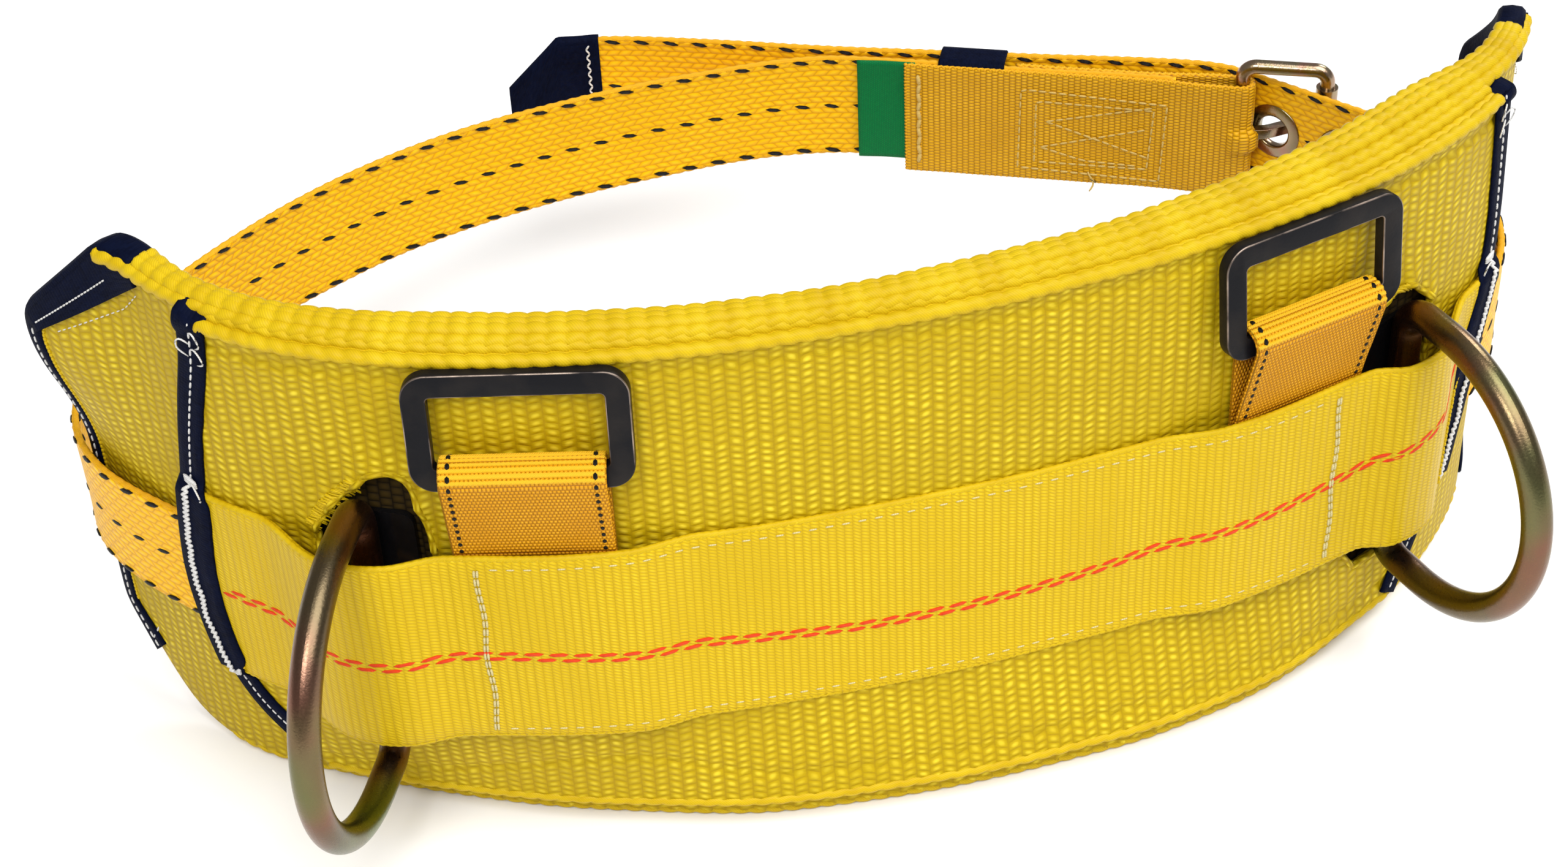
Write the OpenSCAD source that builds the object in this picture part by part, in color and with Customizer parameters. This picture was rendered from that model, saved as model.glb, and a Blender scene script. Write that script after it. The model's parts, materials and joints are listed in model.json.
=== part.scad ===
// Tree climbing saddle: a layered webbing pad with side D-rings and lifting rings,
// closed at the front by a gold waist belt with a roller buckle.
// Frame: +Z up, +Y towards the wearer's front, -Y the lumbar side, +X to the right
// when looking along +Y. The origin is the middle of the back, on the bottom edge.
// Layers are placed by their offset from the pad line, positive away from the body.

/* [Pad] */
// Height of the inner pad webbing
pad_h = 202; // [196:1:208]
// Height of the second pad layer
middle_h = 199; // [194:1:201]
// Top edge of the outer pad layer
outer_top = 195; // [190:1:198]
// Bottom edge of the outer pad layer
outer_bottom = 10; // [6:1:14]
// Thickness of the lined inner pad
inner_t = 3.5; // [2.5:0.1:3.5]
// Thickness of one layer of pad webbing
web_t = 2.4; // [1.8:0.1:2.4]
// Where the outer layer ends, measured along the pad line, left and right
outer_ends = [-230, 208];
// Width of the navy binding tape on each face of an edge
binding_w = 11; // [8:1:12]
// Thickness of the binding tape
binding_t = 1.0; // [0.6:0.1:1.0]

/* [Straps] */
// Width of the load strap
load_w = 76; // [70:1:76]
// Bottom edge of the load strap
load_z = 51; // [49:1:52]
// Width of the waist belt
belt_w = 44; // [38:1:45]
// Middle height of the waist belt
belt_z = 84; // [82:1:86]
// Thickness of the waist belt
belt_t = 2.2; // [1.6:0.1:2.2]
// Width of the strap that holds the buckle
buckle_strap_w = 50; // [46:1:50]
// Width of the loops that hold the lifting rings
loop_w = 50; // [40:1:50]
// Thickness of the loop webbing
loop_t = 1.5; // [1:0.1:1.5]

/* [D-rings] */
// Diameter of the D-ring bar
d_bar = 10; // [8:0.5:10]
// Half height of the D-ring, bar centre to bar centre
d_half = 51; // [49:1:52]
// Reach of the D-ring from its straight bar to the bow, centre to centre
d_reach = 71; // [66:1:80]
// Places of the two D-rings along the pad line
d_places = [-172, 169];
// Middle heights of the two D-rings
d_heights = [90, 89];
// Turn of each D-ring away from square to the pad, in degrees
d_turns = [3, -11];

/* [Lifting rings] */
// Outer width of a lifting ring
ring_w = 67; // [66:1:69]
// Outer height of a lifting ring
ring_h = 40; // [38:1:42]
// Width of the flat bar of a lifting ring
ring_bar = 7.5; // [6:0.5:7.5]
// Thickness of a lifting ring
ring_t = 4.5; // [3:0.5:4.5]
// Places of the two lifting rings along the pad line
ring_places = [-121, 123];
// Height of the pivot bar's centre
ring_pivot_z = 158; // [155:1:159]
// Lean of a resting lifting ring towards the pad, in degrees
ring_lean = 6; // [4:1:6]

/* [Buckle] */
// Wire diameter of the buckle frame
wire = 5.6; // [5:0.1:5.6]
// Distance from the heel bar to the tip bar, centre to centre
buckle_l = 32; // [31:1:34]
// Height of the buckle frame, bar centre to bar centre
buckle_h = 58; // [58:1:60]
// Outer diameter of the roller
roller_d = 8.4; // [7.6:0.2:8.4]
// Hole radius of a grommet
grommet_r = 6.35; // [5.5:0.05:6.4]
// Distance between neighbouring grommets
grommet_pitch = 31; // [30:1:34]

/* [Hidden] */
$fn = 48;

YELLOW = [0.93, 0.80, 0.05];
GOLD = [0.93, 0.63, 0.05];
NAVY = [0.04, 0.07, 0.18];
STEEL = [0.62, 0.56, 0.42];
BLACK = [0.10, 0.10, 0.12];
GREEN = [0.03, 0.42, 0.26];

LEFT = 0;
RIGHT = 1;
gap = 0.3;
step = 4;

// The pad line, from the middle of the back outwards: [length, radius] of each arc
LEFT_ARCS = [[60, 545], [60, 380], [60, 230], [50, 130], [70, 300]];
RIGHT_ARCS = [[60, 590], [60, 450], [60, 270], [60, 140], [20, 80], [35, 60]];
pad_ends = [-300, 295];
// Chamfers at the pad ends, [length, height]
inner_chamfer = [35, 36];
outer_chamfer = [33, 36];

// Layer faces as offsets from the pad line
inner_in = -3;
inner_out = inner_in + inner_t;
middle_in = inner_out + gap;
middle_out = middle_in + web_t;
belt_in = middle_out + gap;
belt_out = belt_in + belt_t;
outer_in = belt_out + gap;
outer_out = outer_in + web_t;
load_in = outer_out + gap;
load_out = load_in + web_t;

// D-ring bar between its keeper plate and the belt
keeper_t = 2.2;
keeper_out = belt_in + keeper_t;
d_offset = keeper_out + gap + d_bar / 2;
bar_rise = d_offset + d_bar / 2 + gap - belt_in;
bar_flat = 6;
bar_zone = 22;
load_zone = 30;
d_corner = 9;
arm_room = 6;
keeper_w = 30;
keeper_h = 2 * (d_half - arm_room) - 2;

// Lifting ring loop: a curl that leaves room for the flat bar to turn
curl_r = norm([ring_bar, ring_t]) / 2 + gap + loop_t / 2;
loop_back = outer_out + gap + loop_t / 2;
loop_front = loop_back + loop_t + gap;
curl_offset = loop_back + curl_r;
loop_rise = 5;
loop_ramp = 8;
loop_bottom = 62;

// Buckle: the heel bar's place, and the line of the strap that holds it
buckle_at = [195, 213.5];
buckle_turn = -26;
fold_r = wire / 2 + gap;
inner_leg = 131;
outer_leg = 88;
belt_end = 25;
pass_out = 9;
pass_in = -7.5;
grommet_from_heel = 13.5;
roller_room = 0.08;
bend_r = 5;
prong_d = 4;
hub_wall = 2;
hub_h = 8;

// Grommets, each a flanged barrel and a washer
barrel_wall = 1.2;
flange_r = 12;
flange_t = 0.8;
washer_r = 11.5;

// Sewn-on trim of the waist belt: the label, the keeper loop and the end cover
tag_w = 23;
tag_t = 0.8;
tag_under_strap = 4;
keeper_loop_from_heel = 118;
keeper_loop_w = 26;
keeper_loop_depth = 13;
keeper_loop_t = 1.2;
tip_cover = 38;
tip_cut = 20;
tip_heading = 170;

// ---- Pad line ----

function along_arc(p, l, r) =
    let (a = l / r * 180 / PI)
    [p.x + r * (sin(p.z + a) - sin(p.z)), p.y - r * (cos(p.z + a) - cos(p.z)), p.z + a];

function walk(arcs, s, p = [0, 0, 0], i = 0) =
    i == len(arcs) - 1 || s <= arcs[i][0]
        ? along_arc(p, s, arcs[i][1])
        : walk(arcs, s - arcs[i][0], along_arc(p, arcs[i][0], arcs[i][1]), i + 1);

// Place and heading of the pad line at s: [x, y, degrees]
function pad_at(s) =
    s >= 0 ? walk(RIGHT_ARCS, s) : let (p = walk(LEFT_ARCS, -s)) [-p.x, p.y, -p.z];

function pad_point(s, offset) =
    let (p = pad_at(s)) [p.x + offset * sin(p.z), p.y - offset * cos(p.z)];

function stations(a, b) =
    let (n = ceil((b - a) / step)) [for (i = [0:n]) a + (b - a) * i / n];

// ---- Rises of a layer where it passes over something ----

function smooth(t) = let (u = min(max(t, 0), 1)) u * u * (3 - 2 * u);

function hump(s, at, flat, zone) = smooth((zone - abs(s - at)) / (zone - flat));

FLAT = function (s) 0;
OVER_BAR = function (s)
    bar_rise * max(hump(s, d_places[LEFT], bar_flat, bar_zone),
                   hump(s, d_places[RIGHT], bar_flat, bar_zone));
OVER_ALL = function (s)
    let (half = loop_w / 2 + 2)
    max(bar_rise * max(hump(s, d_places[LEFT], bar_flat, load_zone),
                       hump(s, d_places[RIGHT], bar_flat, load_zone)),
        loop_rise * max(hump(s, ring_places[LEFT], half, half + loop_ramp),
                        hump(s, ring_places[RIGHT], half, half + loop_ramp)));

// ---- Shapes ----

// A stretch of a layer between two places, two offsets and two heights
module band(a, b, lo, hi, z0, z1, rise = FLAT) {
    s = stations(a, b);
    outer = [for (q = s) pad_point(q, hi + rise(q))];
    inner = [for (i = [len(s) - 1:-1:0]) pad_point(s[i], lo + rise(s[i]))];
    translate([0, 0, z0]) linear_extrude(z1 - z0) polygon(concat(outer, inner));
}

// Puts its children square to the pad at s: X along the pad, -Y away from the body
module facing(s) {
    p = pad_at(s);
    translate([p.x, p.y, 0]) rotate([0, 0, p.z]) children();
}

function right_of(p, i) =
    let (d = p[min(i + 1, len(p) - 1)] - p[max(i - 1, 0)]) [d.y, -d.x] / norm(d);

// Outline of a strip of thickness t along a line of points
function strip(p, t) = concat(
    [for (i = [0:len(p) - 1]) p[i] + right_of(p, i) * t / 2],
    [for (i = [len(p) - 1:-1:0]) p[i] - right_of(p, i) * t / 2]);

// A smooth curve between two knots [x, y, heading]
function blend(a, b, t) =
    let (l = norm([b.x - a.x, b.y - a.y]))
    (2 * t ^ 3 - 3 * t ^ 2 + 1) * [a.x, a.y] + (3 * t ^ 2 - 2 * t ^ 3) * [b.x, b.y]
    + (t ^ 3 - 2 * t ^ 2 + t) * l * [cos(a.z), sin(a.z)]
    + (t ^ 3 - t ^ 2) * l * [cos(b.z), sin(b.z)];

function course(knots, n = 10) = concat(
    [for (k = [0:len(knots) - 2]) for (i = [0:n - 1]) blend(knots[k], knots[k + 1], i / n)],
    [[knots[len(knots) - 1].x, knots[len(knots) - 1].y]]);

// Place and heading at distance d along a line of points
function along(p, d, i = 0) =
    let (l = norm(p[i + 1] - p[i]))
    d <= l || i == len(p) - 2
        ? let (q = p[i] + (p[i + 1] - p[i]) * d / l, v = p[i + 1] - p[i])
          [q.x, q.y, atan2(v.y, v.x)]
        : along(p, d - l, i + 1);

function backwards(p) = [for (i = [len(p) - 1:-1:0]) p[i]];

module rounded_rect(w, h, r) {
    translate([-w / 2, r]) square([w, h - 2 * r]);
    translate([-w / 2 + r, 0]) square([w - 2 * r, h]);
    for (x = [-w / 2 + r, w / 2 - r], y = [r, h - r]) translate([x, y]) circle(r);
}

// A quarter of a bent bar: centre line radius r, bar diameter d, from +X towards +Y
module bend(r, d) {
    rotate_extrude(angle = 90) translate([r, 0]) circle(d = d);
}

// ---- Belt courses ----

// A place on the buckle line: a along it towards the tip bar, b away from the body
function buckle_point(a, b) =
    [buckle_at.x + a * cos(buckle_turn) - b * sin(buckle_turn),
     buckle_at.y + a * sin(buckle_turn) + b * cos(buckle_turn)];

function knot(p, h) = [p.x, p.y, h];

function exit_knot(s, reverse) =
    knot(pad_point(s, belt_in + belt_t / 2), pad_at(s).z + (reverse ? 180 : 0));

crossing = 180 + buckle_turn - atan2(pass_out - pass_in, buckle_l);

left_course = concat(
    course([exit_knot(outer_ends[LEFT], true), [-255, 138, 92], [-209, 218, 42],
            [-125, 269, 20], [0, 288.5, 0], knot(buckle_point(-150, 0), buckle_turn)]),
    [buckle_point(-belt_end, 0)]);
side_course = course([exit_knot(outer_ends[RIGHT], false), [244, 95, 72], [250, 137, 92],
                      knot(buckle_point(buckle_l, pass_in), crossing)]);
free_course = course([knot(buckle_point(buckle_l, pass_in), crossing),
                      knot(buckle_point(0, pass_out), crossing),
                      knot(buckle_point(-28, 13), 156), [62, 286, 157],
                      [-29, 326, 162], [-70, 334, tip_heading]]);

grommet_on_line = norm([buckle_l, pass_out - pass_in])
    * (1 - grommet_from_heel / buckle_l);
grommet_places = concat(
    [for (i = [0:2]) along(free_course, grommet_on_line + i * grommet_pitch)],
    [for (i = [1:2]) along(backwards(side_course), i * grommet_pitch - grommet_on_line)]);

module at_grommets() {
    for (g = grommet_places)
        translate([g.x, g.y, belt_z]) rotate([0, 0, g.z]) rotate([90, 0, 0]) children();
}

module at_buckle() {
    translate([buckle_at.x, buckle_at.y, belt_z]) rotate([0, 0, buckle_turn]) children();
}

// ---- Pads ----

// Room beyond every layer for the blocks that cut or keep a pad end
block_l = 90;
block_half = 30;
beyond = 1;

// A chamfered end as an outline in [distance from the end, height], moved in by e
function end_outline(c, h0, h1, e, bottom_only) =
    let (l = norm(c),
         low = h0 + c.y - e * (l - c.y) / c.x,
         past = e > 0 ? beyond : 0,
         low_u = c.x + e * l / c.y + past * c.x / c.y,
         high = h1 - c.y + e * (l - c.y) / c.x)
    concat(
        [[low_u, h0 - past], [e, low]],
        bottom_only ? [[e, h1 + beyond]] : [[e, high], [low_u, h1 + past]],
        [[block_l, h1 + beyond], [block_l, h0 - beyond]]);

// The chamfered end as a solid that reaches through every layer
module end_block(side, s, c, h0, h1, e = 0, bottom_only = false) {
    flip = side == LEFT ? 1 : -1;
    facing(s) rotate([90, 0, 0]) linear_extrude(2 * block_half, center = true)
        polygon([for (q = end_outline(c, h0, h1, e, bottom_only)) [flip * q.x, q.y]]);
}

// What lies beyond the chamfers of both ends
module end_waste(ends, c, h0, h1, bottom_only = false) {
    for (side = [LEFT, RIGHT])
        difference() {
            flip = side == LEFT ? 1 : -1;
            facing(ends[side]) translate([flip * c.x / 2, 0, (h0 + h1) / 2])
                cube([c.x + 4 * beyond, 2 * block_half, h1 - h0 + 4 * beyond], center = true);
            end_block(side, ends[side], c, h0, h1, 0, bottom_only);
        }
}

module inner_pad() {
    color(YELLOW) difference() {
        band(pad_ends[LEFT], pad_ends[RIGHT], inner_in, inner_out, 0, pad_h);
        end_waste(pad_ends, inner_chamfer, 0, pad_h);
    }
}

module middle_pad() {
    color(YELLOW) difference() {
        band(pad_ends[LEFT], pad_ends[RIGHT], middle_in, middle_out, 1, middle_h);
        end_waste(pad_ends, inner_chamfer, 0, pad_h);
    }
}

module outer_pad() {
    color(YELLOW) {
        difference() {
            band(outer_ends[LEFT], outer_ends[RIGHT], outer_in, outer_out,
                 outer_bottom, outer_top);
            end_waste(outer_ends, outer_chamfer, outer_bottom, outer_top, true);
            for (side = [LEFT, RIGHT])
                band(d_places[side] - bar_zone, d_places[side] + bar_zone,
                     outer_in - beyond, outer_out + beyond,
                     d_heights[side] - d_half - arm_room, d_heights[side] + d_half + arm_room);
        }
        for (side = [LEFT, RIGHT])
            band(d_places[side] - bar_zone - step, d_places[side] + bar_zone + step,
                 outer_in, outer_out,
                 d_heights[side] - d_half + arm_room, d_heights[side] + d_half - arm_room,
                 OVER_BAR);
    }
}

// ---- Bindings ----

// A tape folded over a chamfered end: lo and hi are the faces that it covers
module binding(side, ends, c, h0, h1, lo, hi, bottom_only = false) {
    s = ends[side];
    away = side == LEFT ? -1 : 1;
    edge = s + away * binding_t;
    back = s - away * (c.x + 2 * binding_w);
    a = min(edge, back);
    b = max(edge, back);
    color(NAVY) difference() {
        band(a, b, lo - binding_t - gap, hi + binding_t + gap, h0, h1);
        difference() {
            band(a, b, lo - gap, hi + gap, h0 - beyond, h1 + beyond);
            outside_end() end_block(side, s, c, h0, h1, 0, bottom_only);
        }
        end_block(side, s, c, h0, h1, binding_w, bottom_only);
        outside_end() end_block(side, s, c, h0, h1, -binding_t, bottom_only);
    }

    // What the layers hold beyond the block that is its child
    module outside_end() {
        difference() {
            band(a - beyond, b + beyond, lo - binding_w, hi + binding_w,
                 h0 - 2 * beyond, h1 + 2 * beyond);
            children();
        }
    }
}

module inner_binding(side) {
    binding(side, pad_ends, inner_chamfer, 0, pad_h, inner_in, middle_out);
}

// Its inner leg is open where the waist belt comes out
module outer_binding(side) {
    reach = outer_chamfer.x + 2 * binding_w + 2 * binding_t;
    difference() {
        binding(side, outer_ends, outer_chamfer, outer_bottom, outer_top,
                outer_in, outer_out, true);
        band(outer_ends[side] - reach, outer_ends[side] + reach, belt_in - gap, outer_in,
             belt_z - belt_w / 2 - gap, belt_z + belt_w / 2 + gap);
    }
}

module inner_binding_left() { inner_binding(LEFT); }
module inner_binding_right() { inner_binding(RIGHT); }
module outer_binding_left() { outer_binding(LEFT); }
module outer_binding_right() { outer_binding(RIGHT); }

// ---- Load strap and ring loops ----

module load_strap() {
    clear = binding_w + 1;
    color(YELLOW) band(outer_ends[LEFT] + clear, outer_ends[RIGHT] - clear,
                       load_in, load_out, load_z, load_z + load_w, OVER_ALL);
}

// Side view of a ring loop in [offset, height]: up the back, round the bar, down the front
loop_line = concat(
    [[loop_back, loop_bottom]],
    [for (a = [180:-12:0]) [curl_offset + curl_r * cos(a), ring_pivot_z + curl_r * sin(a)]],
    [for (i = [1:6])
        blend([curl_offset + curl_r, ring_pivot_z, -90], [loop_front, load_z + load_w, -90],
              i / 6)],
    [[loop_front, loop_bottom]]);

module ring_loop(side) {
    color(GOLD) facing(ring_places[side])
        translate([-loop_w / 2, 0, 0]) rotate([90, 0, 90]) linear_extrude(loop_w)
            polygon([for (q = strip(loop_line, loop_t)) [-q.x, q.y]]);
}

module ring_loop_left() { ring_loop(LEFT); }
module ring_loop_right() { ring_loop(RIGHT); }

// ---- Lifting rings ----

module link_ring(side) {
    color(BLACK) facing(ring_places[side])
        translate([0, -curl_offset, ring_pivot_z]) rotate([90 - ring_lean, 0, 0])
            translate([0, -ring_bar / 2, -ring_t / 2]) linear_extrude(ring_t) difference() {
                rounded_rect(ring_w, ring_h, 8);
                translate([0, ring_bar]) rounded_rect(ring_w - 2 * ring_bar,
                                                      ring_h - 2 * ring_bar, 1.5);
            }
}

module link_ring_left() { link_ring(LEFT); }
module link_ring_right() { link_ring(RIGHT); }

// ---- D-rings ----

module d_ring(side) {
    arm = d_reach - d_half;
    color(STEEL) facing(d_places[side])
        translate([0, -d_offset, d_heights[side]]) rotate([0, 0, d_turns[side]])
            rotate([90, 0, -90]) {
                rotate([90, 0, 0])
                    cylinder(d = d_bar, h = 2 * (d_half - d_corner), center = true);
                for (k = [0, 1]) mirror([0, k, 0]) {
                    translate([d_corner, d_half - d_corner, 0]) rotate([0, 0, 90])
                        bend(d_corner, d_bar);
                    translate([d_corner, d_half, 0]) rotate([0, 90, 0])
                        cylinder(d = d_bar, h = arm - d_corner);
                    translate([arm, 0, 0]) bend(d_half, d_bar);
                }
            }
}

module d_ring_left() { d_ring(LEFT); }
module d_ring_right() { d_ring(RIGHT); }

// A wear plate behind the straight bar
module d_ring_keeper(side) {
    color(BLACK) facing(d_places[side])
        translate([0, -belt_in, d_heights[side] - keeper_h / 2])
            rotate([90, 0, 0]) linear_extrude(keeper_t) rounded_rect(keeper_w, keeper_h, 4);
}

module d_ring_keeper_left() { d_ring_keeper(LEFT); }
module d_ring_keeper_right() { d_ring_keeper(RIGHT); }

// ---- Waist belt ----

module belt_strip(line, t = belt_t, w = belt_w) {
    translate([0, 0, belt_z - w / 2]) linear_extrude(w) polygon(strip(line, t));
}

// The sloping cut of the belt's free end
module tip_waste(grow = 0) {
    end = free_course[len(free_course) - 1];
    translate([end.x, end.y, belt_z + belt_w / 2 + grow]) rotate([0, 0, tip_heading])
        translate([grow, 0, 0]) rotate([0, 45, 0])
            cube([4 * tip_cut, 2 * block_half, tip_cut * sqrt(2)], center = true);
}

module waist_belt() {
    color(GOLD) difference() {
        union() {
            band(outer_ends[LEFT], outer_ends[RIGHT], belt_in, belt_out,
                 belt_z - belt_w / 2, belt_z + belt_w / 2, OVER_BAR);
            belt_strip(left_course);
            belt_strip(side_course);
            belt_strip(free_course);
        }
        at_grommets() cylinder(r = grommet_r + barrel_wall, h = 4 * belt_t, center = true);
        tip_waste();
    }
}

module belt_tip() {
    line = backwards(free_course);
    short = [for (i = [0:6]) let (p = along(line, i * tip_cover / 6)) [p.x, p.y]];
    end = short[0] + (short[0] - short[1]) * binding_t / norm(short[0] - short[1]);
    outer = concat([end], short);
    color(NAVY) difference() {
        belt_strip(outer, belt_t + 2 * (binding_t + gap), belt_w + 2 * (binding_t + gap));
        difference() {
            belt_strip(concat(short, [along(line, tip_cover + 8)]), belt_t + 2 * gap,
                       belt_w + 2 * gap);
            tip_waste();
        }
        tip_waste(binding_t);
    }
}

module grommet_barrels() {
    color(STEEL) at_grommets() difference() {
        union() {
            cylinder(r = grommet_r + barrel_wall, h = belt_t + 2 * flange_t, center = true);
            translate([0, 0, -belt_t / 2 - flange_t]) cylinder(r = flange_r, h = flange_t);
        }
        cylinder(r = grommet_r, h = 4 * belt_t, center = true);
    }
}

module grommet_washers() {
    color(STEEL) at_grommets() translate([0, 0, belt_t / 2]) difference() {
        cylinder(r = washer_r, h = flange_t);
        cylinder(r = grommet_r + barrel_wall, h = 4 * flange_t, center = true);
    }
}

// ---- Buckle ----

module buckle_strap() {
    thick = web_t - 0.2;
    color(GOLD) at_buckle() difference() {
        translate([0, 0, -buckle_strap_w / 2]) linear_extrude(buckle_strap_w) {
            difference() {
                circle(fold_r + thick);
                circle(fold_r);
                translate([-2 * fold_r, -2 * fold_r]) square([2 * fold_r, 4 * fold_r]);
            }
            translate([-inner_leg, -fold_r - thick]) square([inner_leg, thick]);
            translate([-outer_leg, fold_r]) square([outer_leg, thick]);
        }
        cube([22, 30, hub_h + 3], center = true);
    }
}

module size_tag() {
    color(GREEN) at_buckle()
        translate([-inner_leg - tag_w + tag_under_strap, -belt_t / 2 - gap - tag_t, -belt_w / 2])
            cube([tag_w, tag_t, belt_w]);
}

// A loop of tape round both layers of the belt, [offset, height] in section
module keeper_loop() {
    inside = -belt_t / 2 - gap;
    hole = [keeper_loop_depth - keeper_loop_t - inside, belt_w + 1];
    rim = [keeper_loop_t, keeper_loop_t];
    color(NAVY) at_buckle() translate([-keeper_loop_from_heel, 0, 0]) rotate([90, 0, 90])
        linear_extrude(keeper_loop_w) translate([inside, -hole.y / 2]) difference() {
            translate(-rim) square(hole + 2 * rim);
            square(hole);
        }
}

module buckle_frame() {
    color(STEEL) at_buckle() rotate([90, 0, 0]) {
        for (x = [0, buckle_l]) translate([x, 0, 0]) rotate([90, 0, 0])
            cylinder(d = wire, h = buckle_h - 2 * bend_r, center = true);
        for (k = [0, 1]) mirror([0, k, 0]) {
            translate([bend_r, buckle_h / 2, 0]) rotate([0, 90, 0])
                cylinder(d = wire, h = buckle_l - 2 * bend_r);
            translate([bend_r, buckle_h / 2 - bend_r, 0]) rotate([0, 0, 90])
                bend(bend_r, wire);
            translate([buckle_l - bend_r, buckle_h / 2 - bend_r, 0]) bend(bend_r, wire);
        }
    }
}

// The prong bends up through the grommet and rests on the roller
module buckle_tongue() {
    rest = roller_d / 2 + prong_d / 2 + 0.2;
    line = course([[3, -1, 0], [12, 1, 30], [20, rest - 0.8, 20], [buckle_l + 3.5, rest, 0]], 4);
    color(STEEL) at_buckle() difference() {
        union() {
            cylinder(r = wire / 2 + hub_wall, h = hub_h, center = true);
            linear_extrude(prong_d, center = true) {
                polygon(strip(line, prong_d));
                translate(line[len(line) - 1]) circle(d = prong_d);
            }
        }
        cylinder(r = wire / 2 + roller_room, h = 2 * hub_h, center = true);
    }
}

module buckle_roller() {
    color(STEEL) at_buckle() translate([buckle_l, 0, 0]) difference() {
        cylinder(d = roller_d, h = belt_w, center = true);
        cylinder(r = wire / 2 + roller_room, h = belt_w + 2, center = true);
    }
}

inner_pad();
middle_pad();
outer_pad();
inner_binding_left();
inner_binding_right();
outer_binding_left();
outer_binding_right();
load_strap();
ring_loop_left();
ring_loop_right();
link_ring_left();
link_ring_right();
d_ring_keeper_left();
d_ring_keeper_right();
d_ring_left();
d_ring_right();
waist_belt();
belt_tip();
grommet_barrels();
grommet_washers();
size_tag();
buckle_strap();
keeper_loop();
buckle_frame();
buckle_tongue();
buckle_roller();
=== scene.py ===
"""Looks of the tree climbing saddle: webbing, tape, thread and metal round the CAD frame.

Lengths are in millimetres until a mesh is made, which is in metres.
Places on the pad are (s, offset, z): s along the pad line from the middle of the back,
offset away from the body, z above the pad's bottom edge.
"""

import json
import math
import random

import bmesh
import bpy
import numpy as np
from mathutils import Matrix, Vector, noise


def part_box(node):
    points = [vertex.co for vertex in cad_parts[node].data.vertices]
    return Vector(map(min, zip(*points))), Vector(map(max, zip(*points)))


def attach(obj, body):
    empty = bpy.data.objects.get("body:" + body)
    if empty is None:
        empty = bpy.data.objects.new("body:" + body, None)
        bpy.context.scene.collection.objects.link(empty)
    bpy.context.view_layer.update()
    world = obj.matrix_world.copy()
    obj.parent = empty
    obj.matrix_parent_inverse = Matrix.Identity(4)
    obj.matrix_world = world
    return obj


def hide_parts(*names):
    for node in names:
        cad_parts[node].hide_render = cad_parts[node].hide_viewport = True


MM = 0.001
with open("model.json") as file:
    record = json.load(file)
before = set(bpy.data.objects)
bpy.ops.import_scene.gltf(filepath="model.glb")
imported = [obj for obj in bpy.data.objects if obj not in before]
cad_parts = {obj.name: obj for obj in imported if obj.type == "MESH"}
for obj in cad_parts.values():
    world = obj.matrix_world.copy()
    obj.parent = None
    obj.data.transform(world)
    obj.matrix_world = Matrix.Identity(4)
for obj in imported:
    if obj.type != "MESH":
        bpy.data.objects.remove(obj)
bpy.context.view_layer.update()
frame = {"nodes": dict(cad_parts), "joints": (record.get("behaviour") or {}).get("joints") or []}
random.seed(7)

LEFT, RIGHT = 0, 1
SIDES = ("left", "right")
INWARD = (1, -1)  # the way along the pad line that leads inward from each end


# ---- Sizes from the frame ----

def low(node):
    return np.array(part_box(node)[0]) / MM


def high(node):
    return np.array(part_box(node)[1]) / MM


PAD_TOP = high("inner_pad")[2]
MIDDLE_TOP = high("middle_pad")[2]
OUTER_TOP = high("outer_pad")[2]
OUTER_BOTTOM = low("outer_pad")[2]
LOAD_LOW, LOAD_HIGH = low("load_strap")[2], high("load_strap")[2]
BELT_LOW, BELT_HIGH = low("waist_belt")[2], high("waist_belt")[2]
BELT_Z = (BELT_LOW + BELT_HIGH) / 2
HINGES = {j["name"]: j for j in frame["joints"]}

# Offsets of the layers' faces from the pad line
INNER = (-3.0, 0.5)
MIDDLE = (0.8, 3.2)
BELT = (3.5, 5.7)
OUTER = (6.0, 8.4)
LOAD = (8.7, 11.1)
HALF_BELT = (BELT[1] - BELT[0]) / 2
BELT_MIDDLE = (BELT[0] + BELT[1]) / 2
TAPE = 0.9

# Places along the pad line
PAD_ENDS = (-300, 295)
OUTER_ENDS = (-230, 208)
D_PLACES = (-172, 169)
RING_PLACES = (-121, 123)
LOOP_W = 50
CHAMFER = (35, 36)

# The pad line, from the middle of the back outwards: [length, radius] of each arc
LEFT_ARCS = ((60, 545), (60, 380), (60, 230), (50, 130), (70, 300))
RIGHT_ARCS = ((60, 590), (60, 450), (60, 270), (60, 140), (20, 80), (35, 60))


# ---- The pad line ----

def smooth(t):
    t = min(max(t, 0.0), 1.0)
    return t * t * (3 - 2 * t)


def glide(knots, s):
    """A smooth curve through [place, value] knots, level beyond both ends."""
    if s <= knots[0][0]:
        return knots[0][1]
    if s >= knots[-1][0]:
        return knots[-1][1]
    i = next(n for n in range(1, len(knots)) if s <= knots[n][0])
    (a, va), (b, vb) = knots[i - 1], knots[i]

    def slope(n):
        if n <= 0 or n >= len(knots) - 1:
            return 0.0
        return (knots[n + 1][1] - knots[n - 1][1]) / (knots[n + 1][0] - knots[n - 1][0])
    t = (s - a) / (b - a)
    return (va * (2 * t**3 - 3 * t**2 + 1) + vb * (3 * t**2 - 2 * t**3)
            + (b - a) * (slope(i - 1) * (t**3 - 2 * t**2 + t) + slope(i) * (t**3 - t**2)))


def pad_at(s):
    """Place and heading of the pad line at s."""
    x = y = heading = 0.0
    left = abs(s)
    for length, radius in RIGHT_ARCS if s >= 0 else LEFT_ARCS:
        turn = min(left, length) / radius
        x += radius * (math.sin(heading + turn) - math.sin(heading))
        y -= radius * (math.cos(heading + turn) - math.cos(heading))
        heading += turn
        left -= length
        if left <= 0:
            break
    return (x, y, heading) if s >= 0 else (-x, y, -heading)


def on_pad(s, offset, z):
    x, y, heading = pad_at(s)
    return np.array([x + offset * math.sin(heading), y - offset * math.cos(heading), z])


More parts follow.
